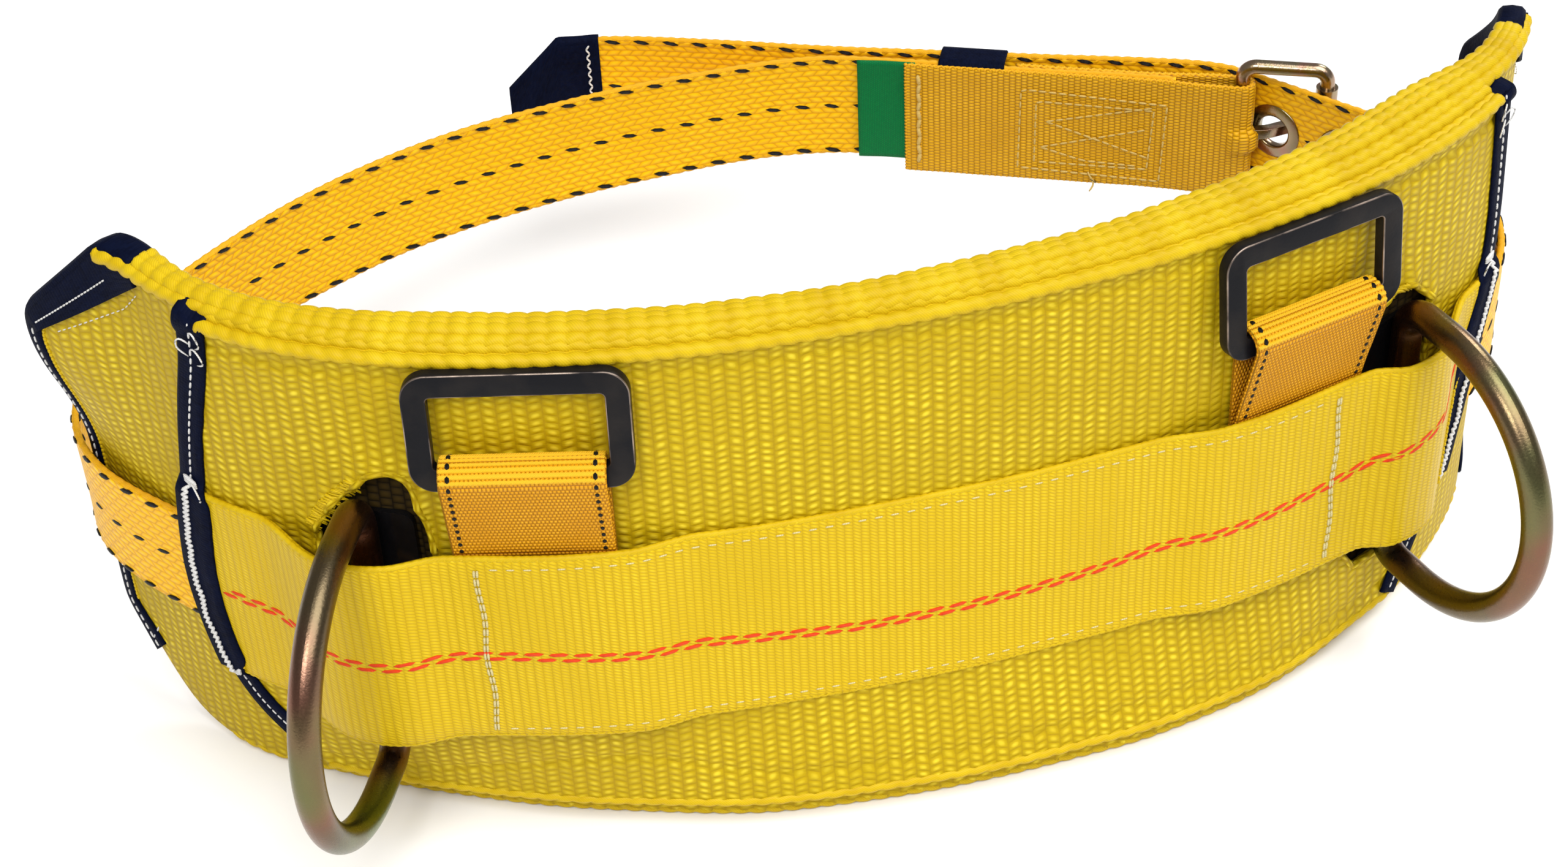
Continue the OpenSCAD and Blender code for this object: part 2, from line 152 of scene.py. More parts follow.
def outward(s):
    """The direction away from the body at s."""
    return on_pad(s, 1, 0) - on_pad(s, 0, 0)


# How far the belt and the load strap rise over the D-rings' bars and the ring loops
BELT_RISE = ((-194, 0), (-178, 12.8), (-166, 12.8), (-150, 0), (147, 0), (163, 12.8),
             (175, 12.8), (191, 0))
STRAP_RISE = ((-208, 0), (-181, 12.8), (-163, 12.8), (-147, 6.2), (-93, 5.0), (-72, 0),
              (72, 0), (95, 5.0), (149, 6.2), (160, 12.8), (176, 12.8), (190, 4.5), (202, 0.4))


def over_bar(s):
    return glide(BELT_RISE, s)


def over_all(s):
    return glide(STRAP_RISE, s)


# How the soft layers lean away from their CAD places: [place, offset]
INNER_LEAN = ((-300, -10), (-255, -4), (-225, 0), (-170, -2), (-134, -4), (-41, -1), (58, -4),
              (117, -8), (191, -11), (235, -2), (295, 0))
BOTTOM_LEAN = ((-300, 0), (-244, 0), (-200, -8), (-158, -8), (-103, -2), (-51, 6), (55, 12),
               (116, 11), (170, 3), (230, 0), (295, 0))
TIP_FLARE = 13

# The share of the innermost layer's lean at its top that each layer takes
INNER_SHARE, MIDDLE_SHARE, OUTER_SHARE = 1.0, 0.55, 0.1


def lean(s, z, share):
    """How far a layer leans away from the body at (s, z)."""
    top = share * glide(INNER_LEAN, s) * smooth((z - 135) / (PAD_TOP - 135))
    bottom = glide(BOTTOM_LEAN, s) * smooth((62 - z) / 62)
    flare = TIP_FLARE * smooth((-250 - s) / 50) * smooth((z - 105) / 60)
    ripple = 0.5 * noise.noise(Vector((s / 34, z / 40, share)))
    return top + bottom + flare + ripple


# The ends of the outer layer, which aren't upright: [z, s]
LEFT_EDGE = ((10, -206), (22, -214), (42, -229), (60, -237), (94, -241), (150, -232),
             (196, -223))
RIGHT_EDGE = ((10, 178), (26, 187), (45, 199), (95, 212), (131, 223), (188, 220), (196, 219))


def edge(side, z):
    return glide(RIGHT_EDGE if side == RIGHT else LEFT_EDGE, z)


# ---- Lines of points ----

def lengths(line):
    """The length run up to each point of a line."""
    return np.concatenate([[0], np.cumsum(np.linalg.norm(np.diff(line, axis=0), axis=1))])


def directions(line):
    """Unit directions along a line."""
    ahead = np.gradient(np.array(line, float), axis=0)
    return ahead / np.linalg.norm(ahead, axis=1)[:, None]


def between(place, places, rows):
    """The row of values at a place, from the rows at known places."""
    return np.array([np.interp(place, places, column) for column in rows.T])


def rounded(corners, reach=5.0, count=4):
    """A line through corners with each inner corner rounded off."""
    corners = [np.array(corner, float) for corner in corners]
    line = [corners[0]]
    for before, here, after in zip(corners, corners[1:], corners[2:]):
        a = here + (before - here) * min(1, reach / np.linalg.norm(before - here))
        b = here + (after - here) * min(1, reach / np.linalg.norm(after - here))
        for t in np.linspace(0, 1, count):
            line.append(a * (1 - t) ** 2 + here * 2 * t * (1 - t) + b * t ** 2)
    return line + [corners[-1]]


def spaced(line, step):
    """Points at even steps along a line, and the length run up to each."""
    line = np.array(line, float)
    run = lengths(line)
    places = np.linspace(0, run[-1], max(2, int(run[-1] / step)))
    return [between(place, run, line) for place in places], places


def normals_of(line, hint):
    """Normals of a flat line, on the side that hint points to at its start."""
    ahead = directions(line)
    turned = np.stack([-ahead[:, 1], ahead[:, 0]], 1)
    return turned * np.sign(turned[0] @ np.array(hint, float))


# ---- Meshes ----

def add_object(name, data):
    item = bpy.data.objects.new(name, data)
    bpy.context.scene.collection.objects.link(item)
    return item


class Shape:
    """A mesh in the making, with weave coordinates in millimetres."""

    weld = 0.0001

    def __init__(self):
        self.points, self.faces, self.weave, self.count = [], [], [], 0

    def skin(self, rows, weave, wrap=False, caps=False):
        """Skins rows of points; weave has one more column than rows where the rows wrap."""
        rows, weave = np.array(rows, float), np.array(weave, float)
        r, c = rows.shape[:2]
        i = np.arange(r - 1)[:, None]
        j = np.arange(c if wrap else c - 1)[None, :]
        k = (j + 1) % c
        corners = [i * c + j, i * c + k, (i + 1) * c + k, (i + 1) * c + j]
        quads = np.stack(corners, -1).reshape(-1, 4) + self.count
        coords = [weave[i, j], weave[i, j + 1], weave[i + 1, j + 1], weave[i + 1, j]]
        self.faces += quads.tolist()
        self.weave += np.stack(coords, -2).reshape(-1, 2).tolist()
        if caps:
            for row in (0, r - 1):
                self.faces.append([self.count + row * c + n for n in range(c)])
                self.weave += weave[row, :c].tolist()
        self.points.append(rows.reshape(-1, 3))
        self.count += r * c

    def tube(self, line, radius, sides, scale=None, up=None):
        """A round thread along a line of points, with a scale of its radius at each."""
        line = np.array(line, float)
        ahead = np.gradient(line, axis=0)
        ahead /= np.linalg.norm(ahead, axis=1)[:, None] + 1e-9
        if up is None:
            up = (0, 0, 1.0) if abs(ahead[:, 2]).mean() < 0.8 else (1.0, 0, 0)
        a = np.cross(ahead, up)
        a /= np.linalg.norm(a, axis=1)[:, None] + 1e-9
        b = np.cross(ahead, a)
        scale = np.ones(len(line)) if scale is None else np.array(scale)
        turns = [2 * math.pi * n / sides for n in range(sides)]
        ring = [a * math.cos(t) + b * math.sin(t) for t in turns]
        rows = line[:, None] + np.stack(ring, 1) * (radius * scale)[:, None, None]
        weave = [[(u, n * radius) for n in range(sides + 1)] for u in lengths(line)]
        self.skin(rows, weave, wrap=True, caps=True)

    def stitch(self, a, b, radius):
        """One stitch of thread between two points, thin at both ends."""
        a, b = np.array(a, float), np.array(b, float)
        line = [a * (1 - t) + b * t for t in (0, 0.15, 0.5, 0.85, 1)]
        self.tube(line, radius, 5, (0.35, 0.95, 1.1, 0.95, 0.35))

    def patch(self, corners, out, height):
        """A low pillow on the corners of a float of yarn, raised along out."""
        base = np.array(corners, float)
        out = np.array(out, float)
        middle = base.mean(0)
        rows = [base - out * 0.4, base, middle + (base - middle) * 0.75 + out * height]
        weave = [[(n, k) for n in range(len(base) + 1)] for k in range(3)]
        self.skin(rows, weave, wrap=True, caps=True)

    def piece(self, name, material, slot, replaces=()):
        """Makes the object, puts it on its body and hides the CAD nodes that it stands for."""
        mesh = bpy.data.meshes.new(name)
        mesh.from_pydata((np.concatenate(self.points) * MM).tolist(), [], self.faces)
        layer = mesh.uv_layers.new(name="weave")
        layer.data.foreach_set("uv", np.array(self.weave, np.float32).ravel())
        mesh.validate()
        shape = bmesh.new()
        shape.from_mesh(mesh)
        bmesh.ops.remove_doubles(shape, verts=shape.verts, dist=self.weld * MM)
        bmesh.ops.recalc_face_normals(shape, faces=shape.faces)
        shape.to_mesh(mesh)
        shape.free()
        mesh.shade_smooth()
        mesh.materials.append(material)
        settle(add_object(name, mesh), replaces)


def settle(piece, replaces, body="saddle"):
    """Puts a finished piece on its body and hides the CAD nodes that it stands for."""
    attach(piece, body)
    if replaces:
        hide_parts(*replaces)


def apply_modifiers(piece):
    bpy.context.view_layer.update()
    graph = bpy.context.evaluated_depsgraph_get()
    mesh = bpy.data.meshes.new_from_object(piece.evaluated_get(graph))
    piece.modifiers.clear()
    piece.data = mesh


def sheet(name, material, grid, place, thickness, keep=None, replaces=()):
    """A sheet of webbing: grid holds weave coordinates, place gives their points.

    keep says whether the cell round a place is made, where the sheet has holes.
    """
    shape = bmesh.new()
    weave = shape.loops.layers.uv.new("weave")
    verts = {}

    def vert(i, j):
        if (i, j) not in verts:
            verts[i, j] = shape.verts.new(place(*grid[i][j]) * MM)
        return verts[i, j]

    for i in range(len(grid) - 1):
        for j in range(len(grid[0]) - 1):
            corners = [(i, j), (i + 1, j), (i + 1, j + 1), (i, j + 1)]
            middle = [sum(grid[a][b][k] for a, b in corners) / 4 for k in (0, 1)]
            if keep and not keep(*middle):
                continue
            face = shape.faces.new([vert(*c) for c in corners])
            face.smooth = True
            for loop, (a, b) in zip(face.loops, corners):
                loop[weave].uv = grid[a][b]
    mesh = bpy.data.meshes.new(name)
    shape.to_mesh(mesh)
    shape.free()
    mesh.materials.append(material)
    piece = add_object(name, mesh)
    thicken = piece.modifiers.new("thickness", "SOLIDIFY")
    thicken.thickness = thickness * MM
    thicken.offset = -1.0
    apply_modifiers(piece)
    settle(piece, replaces)


# ---- Materials ----

def tone(r, g, b):
    """A colour given in 0 to 255, as the linear values that a shader takes."""
    return tuple(((c / 255 + 0.055) / 1.055) ** 2.4 for c in (r, g, b)) + (1.0,)


class Paint:
    """A node material in the making. Each method returns an output socket."""

    def __init__(self, name, roughness, gloss=0.5, metallic=0.0):
        self.material = bpy.data.materials.new(name)
        self.material.use_nodes = True
        self.tree = self.material.node_tree
        self.shader = self.tree.nodes["Principled BSDF"]
        self.put(self.shader, Roughness=roughness, Metallic=metallic, Specular_IOR_Level=gloss)

    def put(self, item, **values):
        """Sets or links a node's inputs, given by name or as _0, _1 by number."""
        for key, value in values.items():
            socket = item.inputs[int(key[1:]) if key[0] == "_" else key.replace("_", " ")]
            if isinstance(value, bpy.types.NodeSocket):
                self.tree.links.new(value, socket)
            else:
                socket.default_value = value
        return item

    def add(self, kind, **values):
        return self.put(self.tree.nodes.new(kind), **values)

    def math(self, how, a, b=0.0, c=0.0):
        item = self.add("ShaderNodeMath")
        item.operation = how
        return self.put(item, _0=a, _1=b, _2=c).outputs[0]

    def times(self, a, b):
        return self.math("MULTIPLY", a, b)

    def plus(self, a, b):
        return self.math("ADD", a, b)

    def mix(self, share, a, b):
        item = self.tree.nodes.new("ShaderNodeMix")
        item.data_type = "RGBA"
        return self.put(item, _0=share, _6=a, _7=b).outputs[2]

    def vector(self, x, y):
        return self.add("ShaderNodeCombineXYZ", _0=x, _1=y).outputs[0]

    def weave(self):
        """Along and across the webbing, in millimetres."""
        source = self.tree.nodes.new("ShaderNodeUVMap")
        source.uv_map = "weave"
        parts = self.add("ShaderNodeSeparateXYZ", Vector=source.outputs[0])
        return parts.outputs[0], parts.outputs[1]

    def place(self):
        return self.tree.nodes.new("ShaderNodeTexCoord").outputs["Object"]

    def noise(self, vector, scale, detail=2.0):
        return self.add("ShaderNodeTexNoise", Vector=vector, Scale=scale,
                        Detail=detail).outputs[0]

    def ramp(self, share, low_end, high_end):
        return self.add("ShaderNodeMapRange", Value=share, From_Min=low_end,
                        From_Max=high_end).outputs[0]

    def split(self, value):
        """The whole part of a value, and the rest of it counted from the middle of its cell."""
        whole = self.math("FLOOR", value)
        return whole, self.math("SUBTRACT", self.math("SUBTRACT", value, whole), 0.5)

    def pillows(self, across, along, row, length, plump, slant=0.0, turn=0.0):
        """Soft floats of yarn in rows: how high they stand, and a random shade for each."""
        i, x = self.split(self.math("DIVIDE", across, row))
        other = self.math("PINGPONG", i, 1.0)
        tilt = self.times(x, self.math("MULTIPLY_ADD", other, -2 * turn, slant + turn))
        b = self.plus(self.math("DIVIDE", along, length), self.times(i, 0.5))
        j, y = self.split(self.plus(b, tilt))
        high_x = self.math("COSINE", self.times(x, math.pi))
        high_y = self.math("COSINE", self.times(y, math.pi))
        swell = self.math("MAXIMUM", self.times(high_x, high_y), 0.0)
        cell = self.add("ShaderNodeTexWhiteNoise", Vector=self.vector(i, j))
        return self.math("POWER", swell, plump), cell.outputs["Value"]

    def finish(self, colour, height=None, depth=0.3):
        self.put(self.shader, Base_Color=colour)
        if height is not None:
            bump = self.add("ShaderNodeBump", Height=height, Strength=1.0, Distance=depth * MM)
            self.put(self.shader, Normal=bump.outputs[0])
        return self.material


def yarn_with_painted_light(paint, tones, swell, random_shade, blotch):
    """Yarn colour with painted light: a painted highlight on the tops of the floats, painted shade
    between them, and uneven all over.
    """
    painted_highlight_tone, body, dark = (tone(*values) for values in tones)
    # painted highlight: the first tone, laid on the tops of the floats
    top = paint.mix(paint.times(random_shade, 0.5), painted_highlight_tone, body)
    top = paint.mix(paint.ramp(blotch, 0.42, 0.75), top, body)
    # painted shade: the third tone, which stands for the shadow between the floats
    painted_shade_part = paint.mix(paint.ramp(swell, 0.0, 0.35), dark, body)
    return paint.mix(paint.ramp(swell, 0.5, 1.0), painted_shade_part, top)


def pad_webbing():
    """Columns of short level floats, every other column a little lower."""
    paint = Paint("pad_webbing", 0.5, 0.12)
    column_width = 4.4
    u, v = paint.weave()
    swell = paint.noise(paint.vector(paint.times(u, 0.02), v), 0.1)
    level = paint.plus(v, paint.times(swell, 3.0))
    height, shade = paint.pillows(u, level, column_width, 2.8, 1.0, turn=0.35)
    blotch = paint.noise(paint.vector(u, v), 0.035, 4)
    fine = paint.noise(paint.vector(paint.times(u, 0.5), paint.times(v, 3.0)), 1.2)
    column = paint.math("SINE", paint.times(u, math.pi / column_width))
    relief = paint.plus(height, paint.times(fine, 0.35))
    relief = paint.plus(relief, paint.times(column, 0.1))
    # First tone: painted highlight on the floats; last tone: painted shade between them.
    tones = ((232, 208, 52), (182, 153, 6), (166, 136, 5))
    return paint.finish(yarn_with_painted_light(paint, tones, height, shade, blotch), relief, 0.36)


def load_webbing():
    """Upright ribs in pairs, each of fine slanting floats."""
    paint = Paint("load_webbing", 0.42, 0.14)
    rib_width = 2.6
    u, v = paint.weave()
    height, shade = paint.pillows(u, v, rib_width, 1.3, 0.8, 0.9, 0.2)
    rib = paint.math("SINE", paint.times(u, math.pi / rib_width))
    blotch = paint.noise(paint.vector(u, paint.times(v, 0.4)), 0.04, 4)
    relief = paint.plus(paint.times(height, 0.7), paint.times(rib, 0.35))
    # First tone: painted highlight on the floats; last tone: painted shade between them.
    tones = ((224, 193, 34), (201, 167, 8), (184, 149, 4))
    return paint.finish(yarn_with_painted_light(paint, tones, height, shade, blotch), relief, 0.22)


def webbing(name, surface, weave, blotch, tones, depth, along=False):
    """Rows of floats across the webbing, or along it. weave is row, length, plump and so on."""
    paint = Paint(name, *surface)
    u, v = paint.weave()
    height, shade = paint.pillows(*((v, u) if along else (u, v)), *weave)
    patches = paint.noise(paint.vector(u, v), *blotch)
    return paint.finish(yarn_with_painted_light(paint, tones, height, shade, patches), height, depth)


def navy_tape():
    """Fine ribbed tape with soft creases."""
    paint = Paint("navy_tape", 0.6, 0.03)
    u, v = paint.weave()
    height, shade = paint.pillows(u, v, 1.1, 1.4, 0.5)
    blotch = paint.noise(paint.vector(u, v), 0.08, 3)
    creases = paint.noise(paint.vector(paint.times(u, 0.15), v), 0.5, 3)
    colour = paint.mix(blotch, tone(2, 4, 16), tone(9, 15, 38))
    colour = paint.mix(paint.times(shade, 0.2), colour, tone(18, 28, 58))
    relief = paint.plus(paint.times(height, 0.2), paint.times(creases, 1.5))
    return paint.finish(colour, relief, 0.35)


def painted_shade_webbing():
    """Painted shade: dark webbing that stands for the shadow at the bottom of an opening."""
    paint = Paint("painted_shade_webbing", 0.8, 0.1)
    u, v = paint.weave()
    height = paint.pillows(u, v, 3.9, 3.1, 0.5)[0]
    # painted shade, darker still between the floats
    colour = paint.mix(height, tone(20, 14, 6), tone(58, 44, 14))
    return paint.finish(colour, height, 0.5)


def thread(name, fill):
    """Twisted sewing thread or yarn, with painted shade in the grooves of the twist."""
    paint = Paint(name, 0.5, 0.25)
    u, v = paint.weave()
    twist = paint.math("SINE", paint.times(paint.plus(u, v), 9.0))
    fill = tone(*fill)
    # painted shade: the grooves of the twist are darkened to stand for their shadow
    painted_groove_shade = tuple(c * 0.75 for c in fill[:3]) + (1.0,)
    colour = paint.mix(paint.ramp(twist, -2.0, 1.5), fill, painted_groove_shade)
    return paint.finish(colour, twist, 0.06)


def cord_yarn():
    """The thick yarn of the pad's woven edges, in two yellows, with painted shade between strands.
    """
    paint = Paint("cord_yarn", 0.48, 0.15)
    u, v = paint.weave()
    blotch = paint.noise(paint.vector(u, v), 0.08, 3)
    fine = paint.math("SINE", paint.times(paint.plus(u, v), 7.0))
    colour = paint.mix(paint.ramp(blotch, 0.35, 0.7), tone(210, 180, 20), tone(192, 158, 6))
    # painted shade: darker between the strands, where their shadow falls
    colour = paint.mix(paint.ramp(fine, -4.0, 1.0), tone(166, 132, 4), colour)
    return paint.finish(colour, fine, 0.012)


def green_label():
    """Smooth satin ribbon."""
    paint = Paint("green_label", 0.45, 0.1)
    u, v = paint.weave()
    height, shade = paint.pillows(u, v, 0.7, 0.9, 0.5)
    fill = paint.mix(paint.times(shade, 0.4), tone(0, 124, 60), tone(0, 106, 50))
    # painted shade: the low parts between the threads take the darker green
    return paint.finish(paint.mix(height, tone(2, 84, 54), fill), height, 0.08)


def plated(name, tones, roughness, scale):
    """Zinc plated steel: soft clouds of four tints over a slightly grained surface."""
    paint = Paint(name, roughness, metallic=1.0)
    place = paint.place()
    colour = tone(*tones[0])
    clouds = ((1.0, 3, 0.35, 0.65), (1.9, 2, 0.42, 0.75), (2.6, 2, 0.45, 0.8))
    for tint, (fineness, detail, low_end, high_end) in zip(tones[1:], clouds):
        cloud = paint.ramp(paint.noise(place, scale * fineness, detail), low_end, high_end)
        colour = paint.mix(cloud, colour, tone(*tint))
    grain = paint.noise(place, 1500, 2)
    rough = paint.plus(roughness - 0.08, paint.times(grain, 0.16))
    paint.put(paint.shader, Roughness=rough)
    return paint.finish(colour, grain, 0.05)


def black_steel():
    """Dark coated steel, browner in patches."""
    paint = Paint("black_steel", 0.42, 0.12)
    place = paint.place()
    worn = paint.ramp(paint.noise(place, 60, 4), 0.45, 0.75)
    colour = paint.mix(worn, tone(14, 14, 18), tone(34, 30, 28))
    grain = paint.noise(place, 900, 2)
    return paint.finish(colour, grain, 0.05)


def worn_edge():
    """Bare metal along the edges of the dark coat."""
    paint = Paint("worn_edge", 0.35, metallic=0.9)
    worn = paint.ramp(paint.noise(paint.place(), 90, 4), 0.4, 0.65)
    return paint.finish(paint.mix(worn, tone(40, 37, 37), tone(150, 134, 122)))


def black_plastic():
    paint = Paint("black_plastic", 0.16, 0.6)
    grain = paint.noise(paint.place(), 300, 2)
    return paint.finish(paint.mix(grain, tone(10, 10, 11), tone(20, 20, 22)), grain, 0.02)


PAD = pad_webbing()
LOAD_PAINT = load_webbing()
# In each webbing's tones the first is a painted highlight on the floats and the last is painted
# shade between them.
BELT_PAINT = webbing("belt_webbing", (0.42, 0.14), (2.45, 4.9, 0.9, 0.0, 0.4), (0.04, 3),
                     ((254, 204, 30), (241, 181, 10), (214, 150, 4)), 0.32, along=True)
LOOP_PAINT = webbing("loop_webbing", (0.4, 0.16), (1.5, 1.25, 0.8), (0.05, 2),
                     ((240, 178, 30), (214, 146, 14), (150, 92, 4)), 0.5)
STRAP_PAINT = webbing("buckle_webbing", (0.42, 0.16), (2.3, 1.35, 0.55), (0.04, 2),
                      ((238, 186, 34), (212, 156, 12), (150, 96, 4)), 0.5)
NAVY = navy_tape()
WHITE = thread("white_thread", (236, 234, 230))
PALE = thread("pale_thread", (222, 208, 150))
CREAM = thread("cream_thread", (226, 194, 112))
GOLD_YARN = thread("gold_yarn", (250, 194, 34))
BLACK_YARN = thread("black_yarn", (10, 10, 14))
ORANGE_YARN = thread("orange_yarn", (255, 70, 8))
CORD = cord_yarn()
BELT_CORD = thread("belt_cord", (246, 180, 22))
# Painted shade for the deep openings round the D-rings
OPENING_SHADE_PAINT = painted_shade_webbing()
GREEN = green_label()
ZINC = plated("zinc_steel", ((112, 96, 68), (90, 82, 68), (136, 88, 74), (98, 116, 70)),
              0.3, 12.0)
BUCKLE_STEEL = plated("buckle_steel", ((162, 140, 112), (142, 133, 115), (172, 124, 112),
                                       (148, 139, 98)), 0.24, 60.0)
BLACK_STEEL = black_steel()
WORN = worn_edge()
PLASTIC = black_plastic()


# ---- Bands of webbing ----

def pad_stations(a, b, step):
    """Stations along the pad: [s, x, y, outward x, outward y]."""
    rows = []
    for s in np.linspace(a, b, int(math.ceil((b - a) / step)) + 1):
        x, y, heading = pad_at(s)
        rows.append((s, x, y, math.sin(heading), -math.cos(heading)))
    return rows


def course_stations(points):
    """Stations along a line of plan points, with outward to its right-hand side."""
    ahead = directions(points)
    return np.column_stack([lengths(points), points, ahead[:, 1], -ahead[:, 0]])


def section(lo, hi, z0, z1, rows):
    """Outline of a band: (offset, z, across) up the outside, over, and down the inside."""
    r = (hi - lo) / 2
    mid = (hi + lo) / 2
    turns = [math.pi * n / 4 for n in range(1, 4)]
    up = [(hi, z, z) for z in np.linspace(z0 + r, z1 - r, rows)]
    over = [(mid + r * math.cos(t), z1 - r + r * math.sin(t), z1 - r + r * t) for t in turns]
    top = z1 - r + math.pi * r
    down = [(lo, z, top + z1 - r - z) for z in np.linspace(z1 - r, z0 + r, rows)]
    end = top + z1 - z0 - 2 * r
    under = [(mid - r * math.cos(t), z0 + r - r * math.sin(t), end + r * t) for t in turns]
    return up + over + down + under


def band(shape, stations, lo, hi, z0, z1, bend, rows):
    """Adds a band of webbing between offsets lo and hi, and from height z0(u) to z1(u)."""
    points, weave = [], []
    for u, x, y, nx, ny in stations:
        ring = section(lo, hi, z0(u), z1(u), rows)
        points.append([])
        for offset, z, v in ring:
            o = offset + bend(u, z)
            points[-1].append((x + nx * o, y + ny * o, z))
        weave.append([(u, v) for o, z, v in ring] + [(u, ring[-1][2] + 1.0)])
    shape.skin(points, weave, wrap=True, caps=True)


def beads(shape, places, at, radius, bead, phase, hand):
    """A long edge's row of fat slanting beads; at(s) gives [offset, z]."""
    step = 0.75
    sides = 10
    points, weave = [], []
    for s in np.linspace(places[0], places[1], int((places[1] - places[0]) / step)):
        offset, z = at(s)
        points.append([])
        for n in range(sides):
            t = 2 * math.pi * n / sides
            cycle = math.pi * (s / bead + phase) + hand * 0.9 * math.sin(t)
            r = radius * (0.7 + 0.34 * abs(math.sin(cycle)) ** 0.6)
            points[-1].append(on_pad(s, offset + r * math.cos(t), z + r * math.sin(t)))
        weave.append([(s, 1.2 * n) for n in range(sides + 1)])
    shape.skin(points, weave, wrap=True, caps=True)


def stitch_line(shape, line, pitch, length, radius):
    """A running stitch along a line of points."""
    line = np.array(line, float)
    run = lengths(line)
    for start in np.arange(0, run[-1] - length, pitch):
        shape.stitch(between(start, run, line), between(start + length, run, line), radius)


# ---- Pad layers ----

def bottom(s):
    """How far the pad's lower edge is rounded up at s."""
    t = 1 - min(abs(s - end) for end in PAD_ENDS) / CHAMFER[0]
    return CHAMFER[1] * (math.sqrt(t * t + 0.12) - abs(t)) / 2


def end_heights(s, low_z, high_z):
    """Lowest and highest z of an inner layer at s, with its chamfered ends."""
    inside = min(abs(s - end) for end in PAD_ENDS)
    cut = max(0.0, CHAMFER[1] * (1 - inside / CHAMFER[0]))
    return low_z + cut + bottom(s), high_z - cut


def inner_pads():
    stations = pad_stations(PAD_ENDS[0] + 0.5, PAD_ENDS[1] - 0.5, 4)
    for name, faces, top, share in (("inner_pad", INNER, PAD_TOP, INNER_SHARE),
                                    ("middle_pad", MIDDLE, MIDDLE_TOP, MIDDLE_SHARE)):
        shape = Shape()
        heights = low(name)[2], top - 1.2
        band(shape, stations, faces[0], faces[1], lambda s: end_heights(s, *heights)[0],
             lambda s: end_heights(s, *heights)[1], lambda s, z: lean(s, z, share), 26)
        shape.piece(name + "_webbing", PAD, "pad_webbing", [name])


def selvedges():
    """Rows of beaded cord along the long edges of the pad layers."""
    shape = Shape()
    span = (PAD_ENDS[0] + CHAMFER[0] + 17, PAD_ENDS[1] - CHAMFER[0] - 13)
    poking = (PAD_ENDS[0] + CHAMFER[0] + 1, PAD_ENDS[1] - CHAMFER[0] - 4)
    outer = (edge(LEFT, OUTER_TOP) + 7, edge(RIGHT, OUTER_TOP) - 7)
    rows = ((-2.0, PAD_TOP - 2.2, 2.5, 1.0, span), (0.2, PAD_TOP - 2.0, 2.7, 0.86, span),
            (1.8, PAD_TOP - 2.4, 2.8, 0.66, span), (4.0, PAD_TOP - 4.0, 2.6, 0.5, poking),
            (4.7, PAD_TOP - 5.4, 2.4, 0.3, outer), (6.2, OUTER_TOP - 0.6, 2.3, 0.18, outer),
            (8.2, OUTER_TOP - 0.2, 2.3, 0.1, outer),
            (-1.6, 2.0, 1.9, 1.0, span), (1.6, 2.2, 1.9, 0.6, span),
            (7.4, OUTER_BOTTOM + 1.2, 1.8, 0.1, (edge(LEFT, 20) + 8, edge(RIGHT, 20) - 8)))
    for k, (offset, z, radius, share, places) in enumerate(rows):
        beads(shape, places, lambda s: (offset + lean(s, z, share), z + bottom(s) * (z < 5)),
              radius, 5.8, 0.5 * k, 1 - 2 * (k % 2))
    shape.piece("pad_selvedges", CORD, "pad_webbing")


# The openings of the outer layer round the D-rings, as [s from the ring's place, z]
OPENINGS = (
    ((-15, 118), (-15, 128), (-9, 138), (0, 147), (5, 152), (15, 152), (18, 140), (21, 124),
     (22, 50), (12, 36), (-6, 36), (-15, 50)),
    ((-20, 118), (-19, 134), (-10, 146), (2, 147), (12, 137), (15, 122), (15, 46), (8, 34),
     (-12, 34), (-20, 46)),
)


OUTLINES = [[(at + a, z) for a, z in opening] for at, opening in zip(D_PLACES, OPENINGS)]


def in_opening(s, z):
    """Whether a place on the outer layer is inside an opening."""
    for outline in OUTLINES:
        hits = sum((az > z) != (bz > z) and s < ax + (z - az) * (bx - ax) / (bz - az)
                   for (ax, az), (bx, bz) in zip(outline, outline[1:] + outline[:1]))
        if hits % 2:
            return True
    return False


def from_opening(s, z):
    """How far a place is from the upper rim of an opening."""
    return min(math.hypot(s - a, z - b) for outline in OUTLINES for a, b in outline if b > 60)


def outer_point(s, z):
    """The outer layer's face: curled out at the openings and creased under its top edge."""
    curl = 3.0 * math.exp(-from_opening(s, z) / 4.0)
    crease = -1.2 * math.exp(-((z - OUTER_TOP + 7.0) / 1.3) ** 2)
    fold = -1.0 * math.exp(-((z - glide(HEM, s)) / 1.4) ** 2)
    return on_pad(s, OUTER[1] - 0.2 + lean(s, z, OUTER_SHARE) + curl + crease + fold, z)


# The crease above the outer layer's lower edge: [s, z]
HEM = ((-200, 16), (-168, 20), (-100, 32), (-51, 22), (60, 20), (180, 18))


def outer_grid(margin, low_z, high_z, columns, rows):
    """A grid of (s, z) on the outer layer, between its slanting ends."""
    heights = np.linspace(low_z, high_z, rows)
    levels = [np.linspace(edge(LEFT, z) + margin, edge(RIGHT, z) - margin, columns)
              for z in heights]
    return [[(levels[j][i], heights[j]) for j in range(rows)] for i in range(columns)]


def outer_layer():
    """The outer layer as a fine sheet with an opening round each D-ring."""
    grid = outer_grid(0.6, OUTER_BOTTOM, OUTER_TOP - 0.8, 260, 110)
    sheet("outer_pad_webbing", PAD, grid, outer_point, 2.0,
          lambda s, z: not in_opening(s, z), ["outer_pad"])


def opening_painted_shades():
    """Sheets painted dark as painted shade, standing for the shadow deep in the openings."""
    for side, name in enumerate(SIDES):
        at = D_PLACES[side]
        grid = [[(s, z) for z in np.linspace(OUTER_BOTTOM + 22, MIDDLE_TOP - 44, 40)]
                for s in np.linspace(at - 24, at + 26, 20)]
        # painted shade: a dark sheet behind each opening in place of its shadow
        sheet(f"opening_painted_shade_{name}", OPENING_SHADE_PAINT, grid,
              lambda s, z: on_pad(s, MIDDLE[1] + 0.45 + lean(s, z, MIDDLE_SHARE), z), 0.4)


